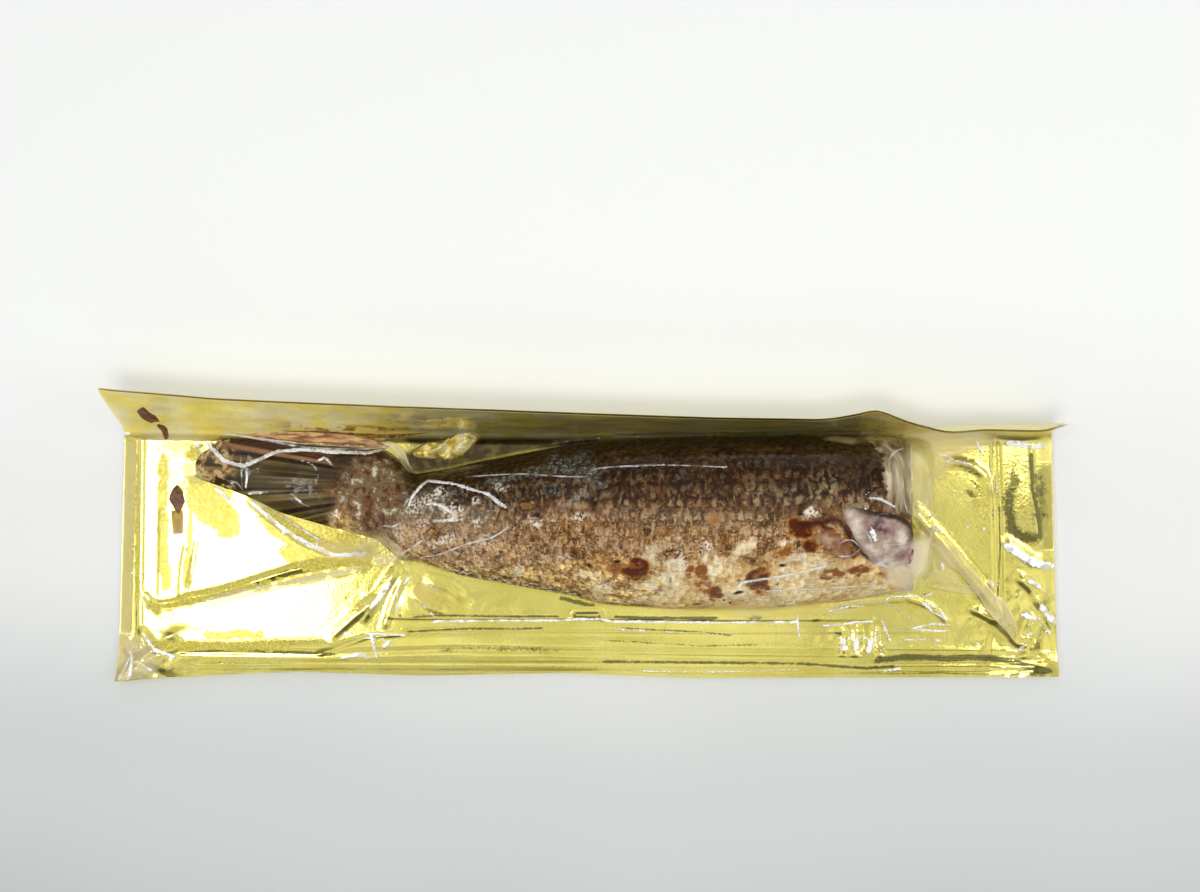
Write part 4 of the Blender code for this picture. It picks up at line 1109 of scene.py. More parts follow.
def fish_parts():
    """Points of the fish's upper side with their relief, and the fields that its look reads."""
    x, y, z, arc = fish_rings()
    width = along(BACK_Y, x[:, 0]) - along(BELLY_Y, x[:, 0])
    pitch = 4.1 * (np.clip(width, 26, 75) / 70) ** 0.75
    run = np.concatenate([[0], np.cumsum(np.diff(x[:, 0]) / pitch[1:])])
    u = np.broadcast_to(run[:, None], x.shape) + 0.30 * layered_noise(x, y, 14, 3, 91)
    v = arc * ROWS_OF_SCALES + 0.16 * layered_noise(x, y, 15, 3, 95)
    relief, groove = scales(u, v)
    across = share_across(x, y)
    tail = smooth_step((-101 + 7 * layered_noise(x, y, 7, 2, 77) - x) / 9)
    skin_end = SKIN_END_X - 1.5 + 3.4 * layered_noise(x * 0.12, y, 2.2, 3, 121)
    skin_end = skin_end - 3.0 * smooth_step((y - 33) / 5)
    flesh = smooth_step((x - skin_end) / 0.9) * smooth_step((y - 8.5) / 2)
    flesh = np.maximum(flesh, smooth_step((x - 131) / 1.5) * smooth_step((9 - y) / 2))
    plain = np.maximum(tail, flesh)
    scaled = (1 - plain) * smooth_step(np.minimum(arc, 1 - arc) / 0.03)
    # rays of the tail fin fan out from its root
    angle = np.arctan2(y - 21, -52 - x)
    rays = noise(angle / 0.026, x / 55, 99)
    fine_rays = noise(angle / 0.012, x / 40, 101)
    lumps = layered_noise(x, y, 7, 3, 105)
    shape = 0.34 * (relief - 0.35) * scaled - 0.20 * groove * scaled
    shape += tail * (0.22 * rays + 0.14 * fine_rays + 0.5 * layered_noise(x * 0.4, y, 6, 2, 103)) + 0.35 * lumps
    root = oval(x, y, -88, 17, 18, 24, 0, 1.0, 0.5)
    shape += root * (1.1 * layered_noise(x, y, 5.0, 3, 109) + 0.35 * layered_noise(x, y, 2.0, 2, 110))
    creased = np.cos(x * 1.5 + 1.6 * noise(y / 9, x / 5, 125) + 0.06 * y)
    shape += flesh * (0.35 * creased + 0.4 * layered_noise(x * 2, y * 0.6, 5, 2, 127))
    # the slit below the flap and the wedge's edge: a groove in the relief, and the field of the painted shadow
    # in it
    slit = np.maximum(stroke(x, y, SLIT, 1.3, 1.0), stroke(x, y, WEDGE, 1.7, 1.0))
    dome = spots(x, y, DOME, 0.3, 4.0, 135, 0.8)
    shape += 1.1 * dome - 1.0 * slit
    edge = smooth_step(np.minimum(arc, 1 - arc) / 0.03) * smooth_step((FLESH_END_X + 1 - x) / 3)
    z = np.maximum(z + (shape - 0.30) * edge, LOWEST_LEVEL)
    band = across + 0.05 * layered_noise(x, y, 10, 3, 111)
    bare = smooth_step((x - 14 + 8 * layered_noise(x, y, 9, 2, 141)) / 22)
    fields = {
        "band": band, "u": u, "v": v, "scaled": scaled, "slit": slit, "dome": dome, "tail": tail, "root": root,
        "flesh": flesh, "smooth": bare * smooth_step((0.34 - band) / 0.12),
        "rays": np.clip(0.45 + 0.42 * rays + 0.38 * fine_rays, 0, 1), "ragged": smooth_step((-145 - x) / 6),
        "vein": oval(x, y, 127.5, 22, 4.0, 15, 4, 1.0, 0.8),
    }
    fields.update((name, spots(x, y, *paint)) for name, paint in PAINT.items())
    # the fin's end is ragged
    torn = 2.2 + 2.6 * layered_noise(y, 0 * y, 3.2, 3, 133) + 2.2 * np.cos((y - 41) / 6)
    pull = smooth_step((-146 - x) / 19) * torn
    return x + np.clip(pull, 0, 7), y, z, fields


def make_fish(material):
    """The fish's upper side from its rows of points, closed by a level under side and two end caps."""
    x, y, z, fields = fish_parts()
    under = np.linspace(0, 1, POINTS_UNDER + 2)[1:-1]
    uy = y[:, -1:] + (y[:, :1] - y[:, -1:]) * under
    ux = x[:, -1:] + (x[:, :1] - x[:, -1:]) * under
    ring = np.stack([
        np.concatenate([x, ux], axis=1), np.concatenate([y, uy], axis=1),
        np.concatenate([z, np.full_like(uy, UNDER_LEVEL)], axis=1),
    ], axis=-1)
    rows, columns = ring.shape[:2]
    faces = grid_faces(rows, columns, closed=True).tolist()
    for k, flip in ((0, True), (rows - 1, False)):
        ids = np.arange(columns) + k * columns
        faces.append((ids[::-1] if flip else ids).tolist())
    attributes = {
        key: np.concatenate([field, np.repeat(field[:, :1], uy.shape[1], axis=1)], axis=1)
        for key, field in fields.items()
    }
    return make_mesh("salted_mullet", ring, faces, material, attributes)


def fish_material():
    t = Tree("salted_fish_look")
    band = t.field("band")
    blotch = t.noise(110, 2.5)
    middle = t.noise(240, 3.0, 0.6)
    fleck = t.noise(520, 1.5)
    fine = t.noise(900, 1.0, 0.6)
    grit = t.noise(1500, 1.0)
    upright = t.noise(520, 1.0, stretch=(1.0, 0.40, 0.7))
    # scales as cells in rows, every other row shifted by half a scale, with ragged borders
    u = t.add_scaled(fleck, 0.45, t.field("u"))
    v = t.add_scaled(fine, 0.22, t.field("v"))
    row = t.math("FLOOR", v)
    run = t.add_scaled(t.math("MODULO", t.math("ABSOLUTE", row), 2.0), 0.5, u)
    where = t.add("CombineXYZ", {0: run, 1: v}).outputs[0]
    cells = {"Vector": where, "Scale": 1.0, "Randomness": 0.38}
    cell = t.add("TexVoronoi", cells, voronoi_dimensions="2D").outputs
    border = t.add("TexVoronoi", cells, voronoi_dimensions="2D", feature="DISTANCE_TO_EDGE").outputs["Distance"]
    chance = t.add("SeparateColor", {0: cell["Color"]}).outputs
    forward = t.math("SUBTRACT", run, t.add("SeparateXYZ", {0: cell["Position"]}).outputs[0])
    place = t.vary(band, blotch, 0.22)
    colour = t.ramp(place, (
        (0.04, (1.0, 0.80, 0.38)), (0.12, (0.97, 0.74, 0.34)), (0.22, (0.72, 0.47, 0.19)),
        (0.32, (0.49, 0.30, 0.125)), (0.42, (0.30, 0.165, 0.068)), (0.51, (0.170, 0.083, 0.033)),
        (0.60, (0.092, 0.034, 0.010)), (0.70, (0.062, 0.024, 0.007)), (0.85, (0.060, 0.028, 0.009)),
        (1.00, (0.050, 0.020, 0.005)),
    ))
    colour = t.mix(t.times(t.field("smooth"), 0.75), colour, (1.0, 0.80, 0.46))
    # brown mottling of the lower half
    low = t.rise(band, 0.36, 0.56, 0.0, 1.0)
    brown = t.times(low, t.rise(t.field("smooth"), 0.2, 1.0, 0.35, 1.0))
    brown = t.times(brown, t.rise(middle, 0.48, 0.56, 0.9))
    colour = t.mix(brown, colour, t.ramp(fleck, ((0.35, (0.17, 0.070, 0.018)), (0.62, (0.42, 0.225, 0.075)))))
    mauve = t.patch("mauve", middle, 0.42, 0.58, 0.45, 1.0)
    colour = t.mix(mauve, colour, t.mix(t.rise(band, 0.25, 0.6), (0.46, 0.325, 0.225), (0.26, 0.165, 0.100)))
    warm = t.patch("warm", middle, 0.4, 0.54, 0.85, 0.2)
    colour = t.mix(warm, colour, t.mix(band, (0.42, 0.17, 0.03), (0.055, 0.016, 0.008)))
    grey = t.patch("grey", upright, 0.4, 0.56, 0.85)
    colour = t.mix(grey, colour, (0.35, 0.31, 0.21))
    cream = t.patch("cream", t.noise(190, 3.0, 0.6), 0.4, 0.5)
    colour = t.mix(cream, colour, t.ramp(fleck, ((0.35, (0.98, 0.75, 0.43)), (0.6, (1.0, 0.92, 0.70)))))
    blue = t.patch("blue", fleck, 0.34, 0.6, 0.9, 0.25)
    colour = t.mix(blue, colour, t.ramp(fine, ((0.35, (0.105, 0.115, 0.105)), (0.65, (0.30, 0.33, 0.31)))))
    # every scale has its own tone at random, and painted shade darkens it toward its free edge
    scaled = t.field("scaled")
    bare = t.math("MAXIMUM", t.math("MAXIMUM", t.field("cream"), t.field("dome")), t.field("smooth"))
    bold = t.times(scaled, t.rise(bare, 0.2, 0.9, 0.25, 1.0))
    tone_and_painted_shade = t.add_scaled(chance[0], 0.95, 0.30)
    # painted shade: each scale darker toward its free edge, where it overlaps the next
    tone_and_painted_shade = t.add_scaled(forward, 0.9, tone_and_painted_shade)
    tone_and_painted_shade = t.vary(tone_and_painted_shade, fine, 1.3)
    tone_and_painted_shade = t.vary(tone_and_painted_shade, t.noise(75, 2.0), 2.2)
    tone_and_painted_shade = t.vary(tone_and_painted_shade, fleck, 0.9)
    tone_and_painted_shade = t.math("MAXIMUM", tone_and_painted_shade, 0.26)
    colour = t.mix(t.add_scaled(bold, 0.80, 0.20), colour, tone_and_painted_shade, "MULTIPLY")
    # dark borders between the scales: partly their pigment, partly painted shadow along the overlapping edges
    dark = t.times(t.rise(border, 0.04, 0.15, 0.0, 0.9), bold)
    dark = t.times(dark, t.rise(middle, 0.38, 0.56, 1.0, 0.25))
    dark = t.times(dark, t.ramp(band, ((0.24, 0.75), (0.34, 0.62), (0.52, 0.62), (0.60, 1.0))))
    colour = t.mix(dark, colour, t.ramp(band, (
        (0.1, (0.40, 0.17, 0.05)), (0.40, (0.26, 0.125, 0.055)), (0.62, (0.018, 0.010, 0.005)),
    )))
    pale = t.ramp(band, (
        (0.10, (0.97, 0.84, 0.62)), (0.42, (0.66, 0.50, 0.32)), (0.56, (0.42, 0.30, 0.17)),
        (0.68, (0.20, 0.14, 0.07)), (0.80, (0.13, 0.105, 0.065)), (0.92, (0.085, 0.062, 0.030)),
    ))
    # pale arcs behind brown centres below, a painted highlight on the scales' edges; pale centres above
    arc = t.ramp(border, ((0.05, 0.0), (0.11, 0.9), (0.16, 0.9), (0.24, 0.0)))
    arc = t.times(arc, t.rise(forward, 0.0, 0.2, 0.0, 1.0))
    arc = t.times(arc, t.times(low, t.rise(chance[1], 0.3, 0.55)))
    heart = t.times(t.rise(cell["Distance"], 0.16, 0.36, 0.0, 0.95), t.rise(chance[1], 0.3, 0.55))
    heart = t.times(heart, t.rise(band, 0.3, 0.42))
    mark = t.times(t.math("MAXIMUM", arc, heart), t.times(bold, t.rise(fine, 0.4, 0.55, 1.0, 0.1)))
    colour = t.mix(mark, colour, pale)
    seam = t.rise(t.math("FRACT", v), 0.02, 0.13, 0.0, 0.75)
    seam = t.times(seam, t.ramp(band, ((0.30, 0.0), (0.40, 1.0), (0.60, 1.0), (0.68, 0.3))))
    seam = t.times(t.times(seam, scaled), t.rise(middle, 0.4, 0.54, 1.0, 0.3))
    colour = t.mix(seam, colour, t.ramp(band, ((0.35, (0.22, 0.105, 0.045)), (0.60, (0.022, 0.012, 0.006)))))
    streak = t.times(t.rise(upright, 0.57, 0.66, 0.6), bold)
    colour = t.mix(streak, colour, pale)
    glint = t.rise(grit, 0.67, 0.75, 0.8)
    glint = t.times(glint, t.ramp(band, ((0.12, 0.5), (0.4, 1.0), (0.58, 0.5), (0.70, 0.0))))
    colour = t.mix(glint, colour, (0.90, 0.84, 0.74))
    crumb = t.times(t.rise(fleck, 0.6, 0.68, 0.75), bold)
    colour = t.mix(crumb, colour, t.ramp(band, (
        (0.2, (0.42, 0.17, 0.035)), (0.5, (0.17, 0.070, 0.025)), (0.65, (0.020, 0.010, 0.004)),
    )))
    plain = t.math("MAXIMUM", t.math("MAXIMUM", cream, blue), t.add_scaled(t.field("mauve"), 0.45, 0.0))
    shade = t.ramp(tone_and_painted_shade, ((0.30, (0.90, 0.72, 0.50)), (1.0, (0.90, 0.85, 0.72))))
    colour = t.mix(1.0, colour, t.mix(plain, shade, (0.92, 0.91, 0.85)), "MULTIPLY")
    white = t.patch("white", fine, 0.46, 0.56)
    colour = t.mix(white, colour, (0.88, 0.81, 0.69))
    # stains, drips at the cut, dome and slit
    depth = t.patch("stain", middle, 0.36, 0.54, 1.0, 0.5)
    stain = t.rise(depth, 0.06, 0.58, 0.95)
    colour = t.mix(stain, colour, t.ramp(depth, (
        (0.22, (0.56, 0.30, 0.08)), (0.50, (0.27, 0.080, 0.010)), (0.88, (0.085, 0.012, 0.002)),
    )))
    dome = t.times(t.field("dome"), 0.8)
    colour = t.mix(dome, colour, t.ramp(middle, ((0.40, (0.24, 0.105, 0.055)), (0.58, (0.50, 0.34, 0.24)))))
    drips = t.patch("drips", upright, 0.42, 0.52, 0.95)
    colour = t.mix(drips, colour, t.ramp(fleck, ((0.4, (0.034, 0.015, 0.005)), (0.65, (0.085, 0.050, 0.018)))))
    # tail fin
    ray = t.field("rays")
    tail = t.ramp(ray, (
        (0.10, (0.014, 0.007, 0.002)), (0.50, (0.075, 0.046, 0.014)), (0.90, (0.25, 0.165, 0.062)),
    ))
    olive = t.rise(blotch, 0.46, 0.58, 0.75)
    tail = t.mix(olive, tail, t.ramp(ray, ((0.15, (0.030, 0.020, 0.004)), (0.8, (0.17, 0.135, 0.036)))))
    tail = t.mix(t.field("maroon"), tail, t.ramp(ray, (
        (0.15, (0.048, 0.010, 0.004)), (0.8, (0.36, 0.175, 0.080)),
    )))
    slate = t.patch("slate", ray, 0.4, 0.7, 0.4)
    tail = t.mix(slate, tail, (0.25, 0.205, 0.145))
    torn = t.patch("ragged", middle, 0.46, 0.54, 0.95)
    tail = t.mix(torn, tail, t.ramp(fleck, ((0.4, (0.26, 0.115, 0.035)), (0.6, (0.62, 0.46, 0.22)))))
    colour = t.mix(t.field("tail"), colour, tail)
    root = t.ramp(middle, (
        (0.34, (0.040, 0.020, 0.008)), (0.44, (0.15, 0.055, 0.022)), (0.50, (0.25, 0.16, 0.080)),
        (0.55, (0.15, 0.115, 0.050)), (0.60, (0.40, 0.31, 0.20)), (0.67, (0.78, 0.70, 0.56)),
    ))
    colour = t.mix(t.times(t.field("root"), 0.9), colour, root)
    # cut flesh
    flesh = t.ramp(t.noise(170, 2.0, stretch=(1.8, 0.45, 1.0)), (
        (0.32, (0.14, 0.085, 0.050)), (0.43, (0.31, 0.225, 0.13)), (0.54, (0.46, 0.355, 0.22)),
        (0.66, (0.70, 0.60, 0.43)),
    ))
    vein = t.patch("vein", t.noise(420, 1.0, stretch=(1.6, 0.2, 1.0)), 0.4, 0.54, 0.85)
    flesh = t.mix(vein, flesh, (0.20, 0.095, 0.075))
    colour = t.mix(t.field("flesh"), colour, flesh)
    # the belly fin: brown, with its white specks painted as highlights
    fin = t.ramp(fleck, ((0.36, (0.075, 0.038, 0.012)), (0.50, (0.34, 0.21, 0.09)), (0.60, (1.0, 0.92, 0.72))))
    colour = t.mix(t.rise(t.field("fin"), 0.2, 0.5), colour, fin)
    # painted shadow in the slit below the flap and along the wedge's edge
    colour = t.mix(t.field("slit"), colour, (0.060, 0.013, 0.005))
    colour = t.mix(t.field("speck"), colour, (0.014, 0.004, 0.003))
    normal = t.bump(fleck, 0.55, 0.0006)
    normal = t.bump(t.times(border, scaled), 0.4, 0.0004, normal)
    normal = t.bump(grit, 0.35, 0.0002, normal)
    surface = t.matter(colour, t.rise(fleck, 0.3, 0.7, 0.6, 0.32), normal, specular=0.11)
    return t.finish(surface)


# Loose flap of belly wall at the cut end, as its outline
FLAP_CENTRE = (117.5, 0.0)
FLAP_OUTLINE = (
    (99.5, 9.6), (104, 11.2), (109, 10.6), (114, 9.4), (119, 9.0), (124, 8.2), (128.5, 5.6), (132.0, 1.6),
    (134.6, -3.4), (135.4, -8.6), (134.0, -12.6), (130.5, -13.4), (127.0, -10.8), (123.5, -12.6),
    (119.0, -12.4), (115.0, -10.6), (111.4, -7.6), (107.4, -2.6), (103.6, 3.0), (100.4, 6.8),
)


def polar_patch(outline, centre, rings, spokes, wobble=0.0, seed=151):
    """Even rings of points inside an outline: X, Y and the share of the way out."""
    dx, dy = (np.array(outline, float) - centre).T
    angles = np.unwrap(np.arctan2(dy, dx))
    if angles[-1] < angles[0]:
        angles, dx, dy = angles[::-1], dx[::-1], dy[::-1]
    radii = np.hypot(dx, dy)
    start = angles[0]
    closed_angles = np.concatenate([angles - 2 * math.pi, angles, angles + 2 * math.pi])
    closed_radii = np.tile(radii, 3)
    turn = start + np.linspace(0, 2 * math.pi, spokes, endpoint=False)
    radius = sum(np.interp(turn + k * 0.03, closed_angles, closed_radii) for k in (-2, -1, 0, 1, 2)) / 5
    radius = radius * (1 + wobble * layered_noise(np.cos(turn) * 8, np.sin(turn) * 8, 2.5, 3, seed))
    out = np.sin(np.linspace(0, math.pi / 2, rings))[:, None]
    return centre[0] + out * radius * np.cos(turn), centre[1] + out * radius * np.sin(turn), out + 0 * turn


def filled(outline, step=0.4):
    """An outline with points added along its straight sides."""
    corners = np.array(outline, float)
    sides = []
    for here, after in zip(corners, np.roll(corners, -1, axis=0)):
        count = max(int(np.hypot(*(after - here)) / step), 1)
        sides.append(here + (after - here) * np.linspace(0, 1, count, endpoint=False)[:, None])
    return np.concatenate(sides)


def lens_piece(
    name, outline, centre, height_at, thickness, material, rings=26, spokes=90, wobble=0.05, extra=None,
):
    """A closed piece with a domed top over an outline; height_at gives the level of its underside."""
    x, y, out = polar_patch(outline, centre, rings, spokes, wobble)
    dome = np.sqrt(np.clip(1 - out ** 3, 0, 1))
    low = height_at(x, y)
    top = low + 0.15 + thickness * dome
    if extra is not None:
        top = top + extra(x, y) * dome
    upper = np.stack([x, y, top], axis=-1)
    lower = np.stack([x, y, low], axis=-1)
    points, faces = two_sided(upper, lower), closed_faces(rings, spokes)
    x, y = points[:, 0], points[:, 1]
    share = np.concatenate([out.reshape(-1), out.reshape(-1)])
    # fields that the flap's look reads
    slit = stroke(x, y, np.array(SLIT) + (3.4, 1.6), 2.6, 1.0)
    lobe = oval(x, y, 124.5, 0.0, 4.0, 6.5, 25, 1.0, 0.7)
    foot = oval(x, y, 120, -10.5, 10, 4.0, -12, 1.0, 0.8)
    return make_mesh(name, points, faces, material, {
        "out": share, "pale": np.maximum(np.maximum(0.85 * slit, lobe), 0.8 * foot),
        "red": oval(x, y, 131.5, -6.5, 4.5, 8.0, -12, 1.0, 0.6),
        "mauve": oval(x, y, 115.5, 3.5, 8.0, 6.0, -20, 1.0, 0.8),
        "upper": smooth_step((y - 3.0 + 0.42 * (x - 117)) / 5),
    }, weld=True)


def flap_material():
    t = Tree("belly_flap_look")
    soft = t.noise(120, 4.0)
    fine = t.noise(600, 3.0)
    colour = t.ramp(soft, (
        (0.34, (0.17, 0.095, 0.085)), (0.46, (0.31, 0.20, 0.17)), (0.55, (0.44, 0.33, 0.27)),
        (0.66, (0.66, 0.55, 0.45)),
    ))
    colour = t.mix(t.field("mauve"), colour, t.ramp(t.noise(230, 4.0), (
        (0.38, (0.115, 0.055, 0.055)), (0.60, (0.44, 0.29, 0.27)),
    )))
    pale = t.patch("pale", t.noise(260, 3.0), 0.35, 0.6, 0.95, 0.45)
    colour = t.mix(pale, colour, t.ramp(t.noise(190, 3.0), (
        (0.4, (0.62, 0.50, 0.40)), (0.62, (0.90, 0.80, 0.66)),
    )))
    colour = t.mix(t.field("red"), colour, t.ramp(t.noise(420, 4.0), (
        (0.36, (0.13, 0.040, 0.030)), (0.48, (0.30, 0.135, 0.105)), (0.60, (0.66, 0.47, 0.38)),
    )))
    dark = t.patch("upper", t.field("out"), 0.66, 0.84)
    colour = t.mix(dark, colour, (0.036, 0.018, 0.012))
    rim = t.patch("red", t.field("out"), 0.86, 0.95, 0.9)
    colour = t.mix(rim, colour, (0.060, 0.022, 0.014))
    normal = t.bump(soft, 0.5, 0.0012)
    normal = t.bump(fine, 0.35, 0.0003, normal)
    below = {"Subsurface Weight": 0.12, "Subsurface Radius": (0.004, 0.0015, 0.001)}
    surface = t.matter(colour, t.rise(fine, 0.3, 0.7, 0.45, 0.22), normal, specular=0.3, **below)
    return t.finish(surface)


def pocket_material():
    """A crinkled lump in a pocket of the film, half metal; its yellow, white and orange colours are painted
    reflection and painted highlights.
    """
    t = Tree("film_pocket_painted_reflection_look")
    soft = t.noise(200, 3.0)
    fine = t.noise(800, 3.0)
    colour = t.ramp(soft, (
        (0.34, (0.46, 0.30, 0.03)), (0.45, (0.88, 0.72, 0.20)), (0.56, (0.96, 0.88, 0.42)),
        (0.66, (1.0, 0.97, 0.78)),
    ))
    rim = t.times(t.rise(t.field("out"), 0.84, 0.93, 0.9), t.rise(soft, 0.42, 0.5, 1.0, 0.2))
    colour = t.mix(rim, colour, (0.40, 0.16, 0.02))
    rough = t.rise(fine, 0.3, 0.7, 0.3, 0.12)
    normal = t.bump(fine, 0.4, 0.0004, t.bump(soft, 0.6, 0.0015))
    surface = t.matter(colour, rough, normal, metallic=0.35)
    return t.finish(surface)


def crumb_material(name, dark, light, stretch=(1.0, 1.0, 1.0)):
    t = Tree(name)
    mixed = t.noise(700, 4.0, stretch=stretch)
    colour = t.ramp(mixed, ((0.35, dark), (0.65, light)))
    surface = t.matter(colour, t.rise(mixed, 0.3, 0.7, 0.6, 0.3), t.bump(mixed, 0.6, 0.0005))
    return t.finish(surface)


def across_base(x, y):
    """Place across the flat base, 0 to 1."""
    near, base_end = along(NEAR_EDGE_Y, x), base_end_y(x)
    return np.clip((y - near) / (base_end - near), 0, 1)


def foil_level(x, y):
    """Height of the foil's upper face at a place of the flat base or of the bend beside it."""
    base_end = base_end_y(x)
    points, _ = sheet_points(x, across_base(x, y), FOIL_FACE)
    sine = np.clip((y - base_end) / (FOOT_RADIUS - BEND_INSET), 0, 0.95)
    start = points[..., 2] + FOOT_RADIUS - BEND_INSET
    return start - (FOOT_RADIUS - BEND_INSET) * np.sqrt(1 - sine ** 2) + 0.25 * (sine > 0)


def across_at(x, t):
    """Place across the sheet, 0 to 3, for a distance t along it."""
    base_end, rise = base_end_y(x), standing_angle(x)
    on_base = across_base(x, t)
    on_bend = np.clip((t - base_end) / (FOOT_RADIUS * rise), 0, 1)
    on_wall = np.clip((t - base_end - FOOT_RADIUS * rise) / wall_width_at(x, rise), 0, 1)
    return on_base + on_bend + on_wall


def wall_flake(name, outline, centre, material, thickness=0.25):
    """A bit of dried skin pressed against the film: outline in X and distance along the sheet."""
    x, t, out = polar_patch(outline, centre, *BIT_GRID, 0.10, 171)
    a = across_at(x, t)
    upper, _ = sheet_points(x, a, FLAKE_FACE + thickness * np.sqrt(1 - out ** 4))
    lower, _ = sheet_points(x, a, FLAKE_BACK)
    return make_mesh(name, two_sided(upper, lower), closed_faces(*BIT_GRID), material, weld=True)


def sheet_ribbon(name, line, material, thickness=0.35):
    """A strip under the film along a line of (X, distance along the sheet, half width)."""
    line = np.array(line, float)
    middle = smooth_line(line[:, :2], 0.7)
    half = np.interp(middle[:, 0], line[:, 0], line[:, 2])
    half = half * (1 + 0.22 * noise(middle[:, 0] / 2.2, 0 * half, 181))
    cross = np.linspace(-1, 1, 13)
    x, t = across_line(middle, cross, half)
    points, _ = film_grid(x, across_at(x, t))
    lift = 0.04 + thickness * (1 - cross ** 4) + 0.12 * layered_noise(x * 0.3, t, 2.0, 2, 183)
    lift = np.clip(lift, 0.02, 2)
    points = points + np.stack([0 * x, -0.7 * lift * (t > 40), lift], axis=-1)
    return make_mesh(name, points, grid_faces(len(middle), len(cross)), material)


def smooth_line(points, step=0.5):
    """A polyline with rounded corners, in even steps."""
    points = np.array(points, float)
    padded = np.concatenate([2 * points[:1] - points[1:2], points, 2 * points[-1:] - points[-2:-1]])
    result = []
    for k in range(len(points) - 1):
        p0, p1, p2, p3 = padded[k:k + 4]
        s = np.linspace(0, 1, 12, endpoint=False)[:, None]
        result.append(0.5 * (2 * p1 + (p2 - p0) * s + (2 * p0 - 5 * p1 + 4 * p2 - p3) * s ** 2
                             + (3 * p1 - p0 - 3 * p2 + p3) * s ** 3))
    curve = np.concatenate(result + [points[-1:]])
    lengths = np.concatenate([[0], np.cumsum(np.hypot(*np.diff(curve, axis=0).T))])
    even = np.linspace(0, lengths[-1], max(int(lengths[-1] / step), 4))
    return np.stack([np.interp(even, lengths, curve[:, k]) for k in range(2)], axis=-1)


def top_of_film(x, y):
    """Height of the film at a place of the flat base."""
    points, _ = film_grid(x, across_base(x, y))
    return points[..., 2]


# Translucent folds of the film, as (points, width, strength)
BANDS = (
    (((132.9, 2.9), (136.8, 1.4), (144.6, 0.2), (149.4, -4.3), (155.6, -11.2), (162, -18.7), (167.6, -25.7),
     (173.1, -32.5), (177.5, -41)), 7, 0.4),
    (((141.5, -18.7), (149.7, -19.5), (161.3, -21.1), (165.4, -21.1)), 4, 0.3),
    (((-161.7, -27.8), (-152.9, -24.9), (-139.2, -21.5), (-127.9, -19.1), (-111, -15.4),
     (-90.1, -10.9)), 3, 0.5),
    (((-88.0, 40.6), (-82.5, 39.6), (-78.3, 36.0), (-75.8, 31.2), (-73.0, 27.6)), 3.2, 0.7),
    (((-84.0, 0.5), (-78.0, -5.5), (-74.0, -10.0)), 5.0, 0.45),
    (((140.0, 8.0), (139.0, -2.0), (138.0, -12.0), (136.0, -18.5)), 4.0, 0.45),
)

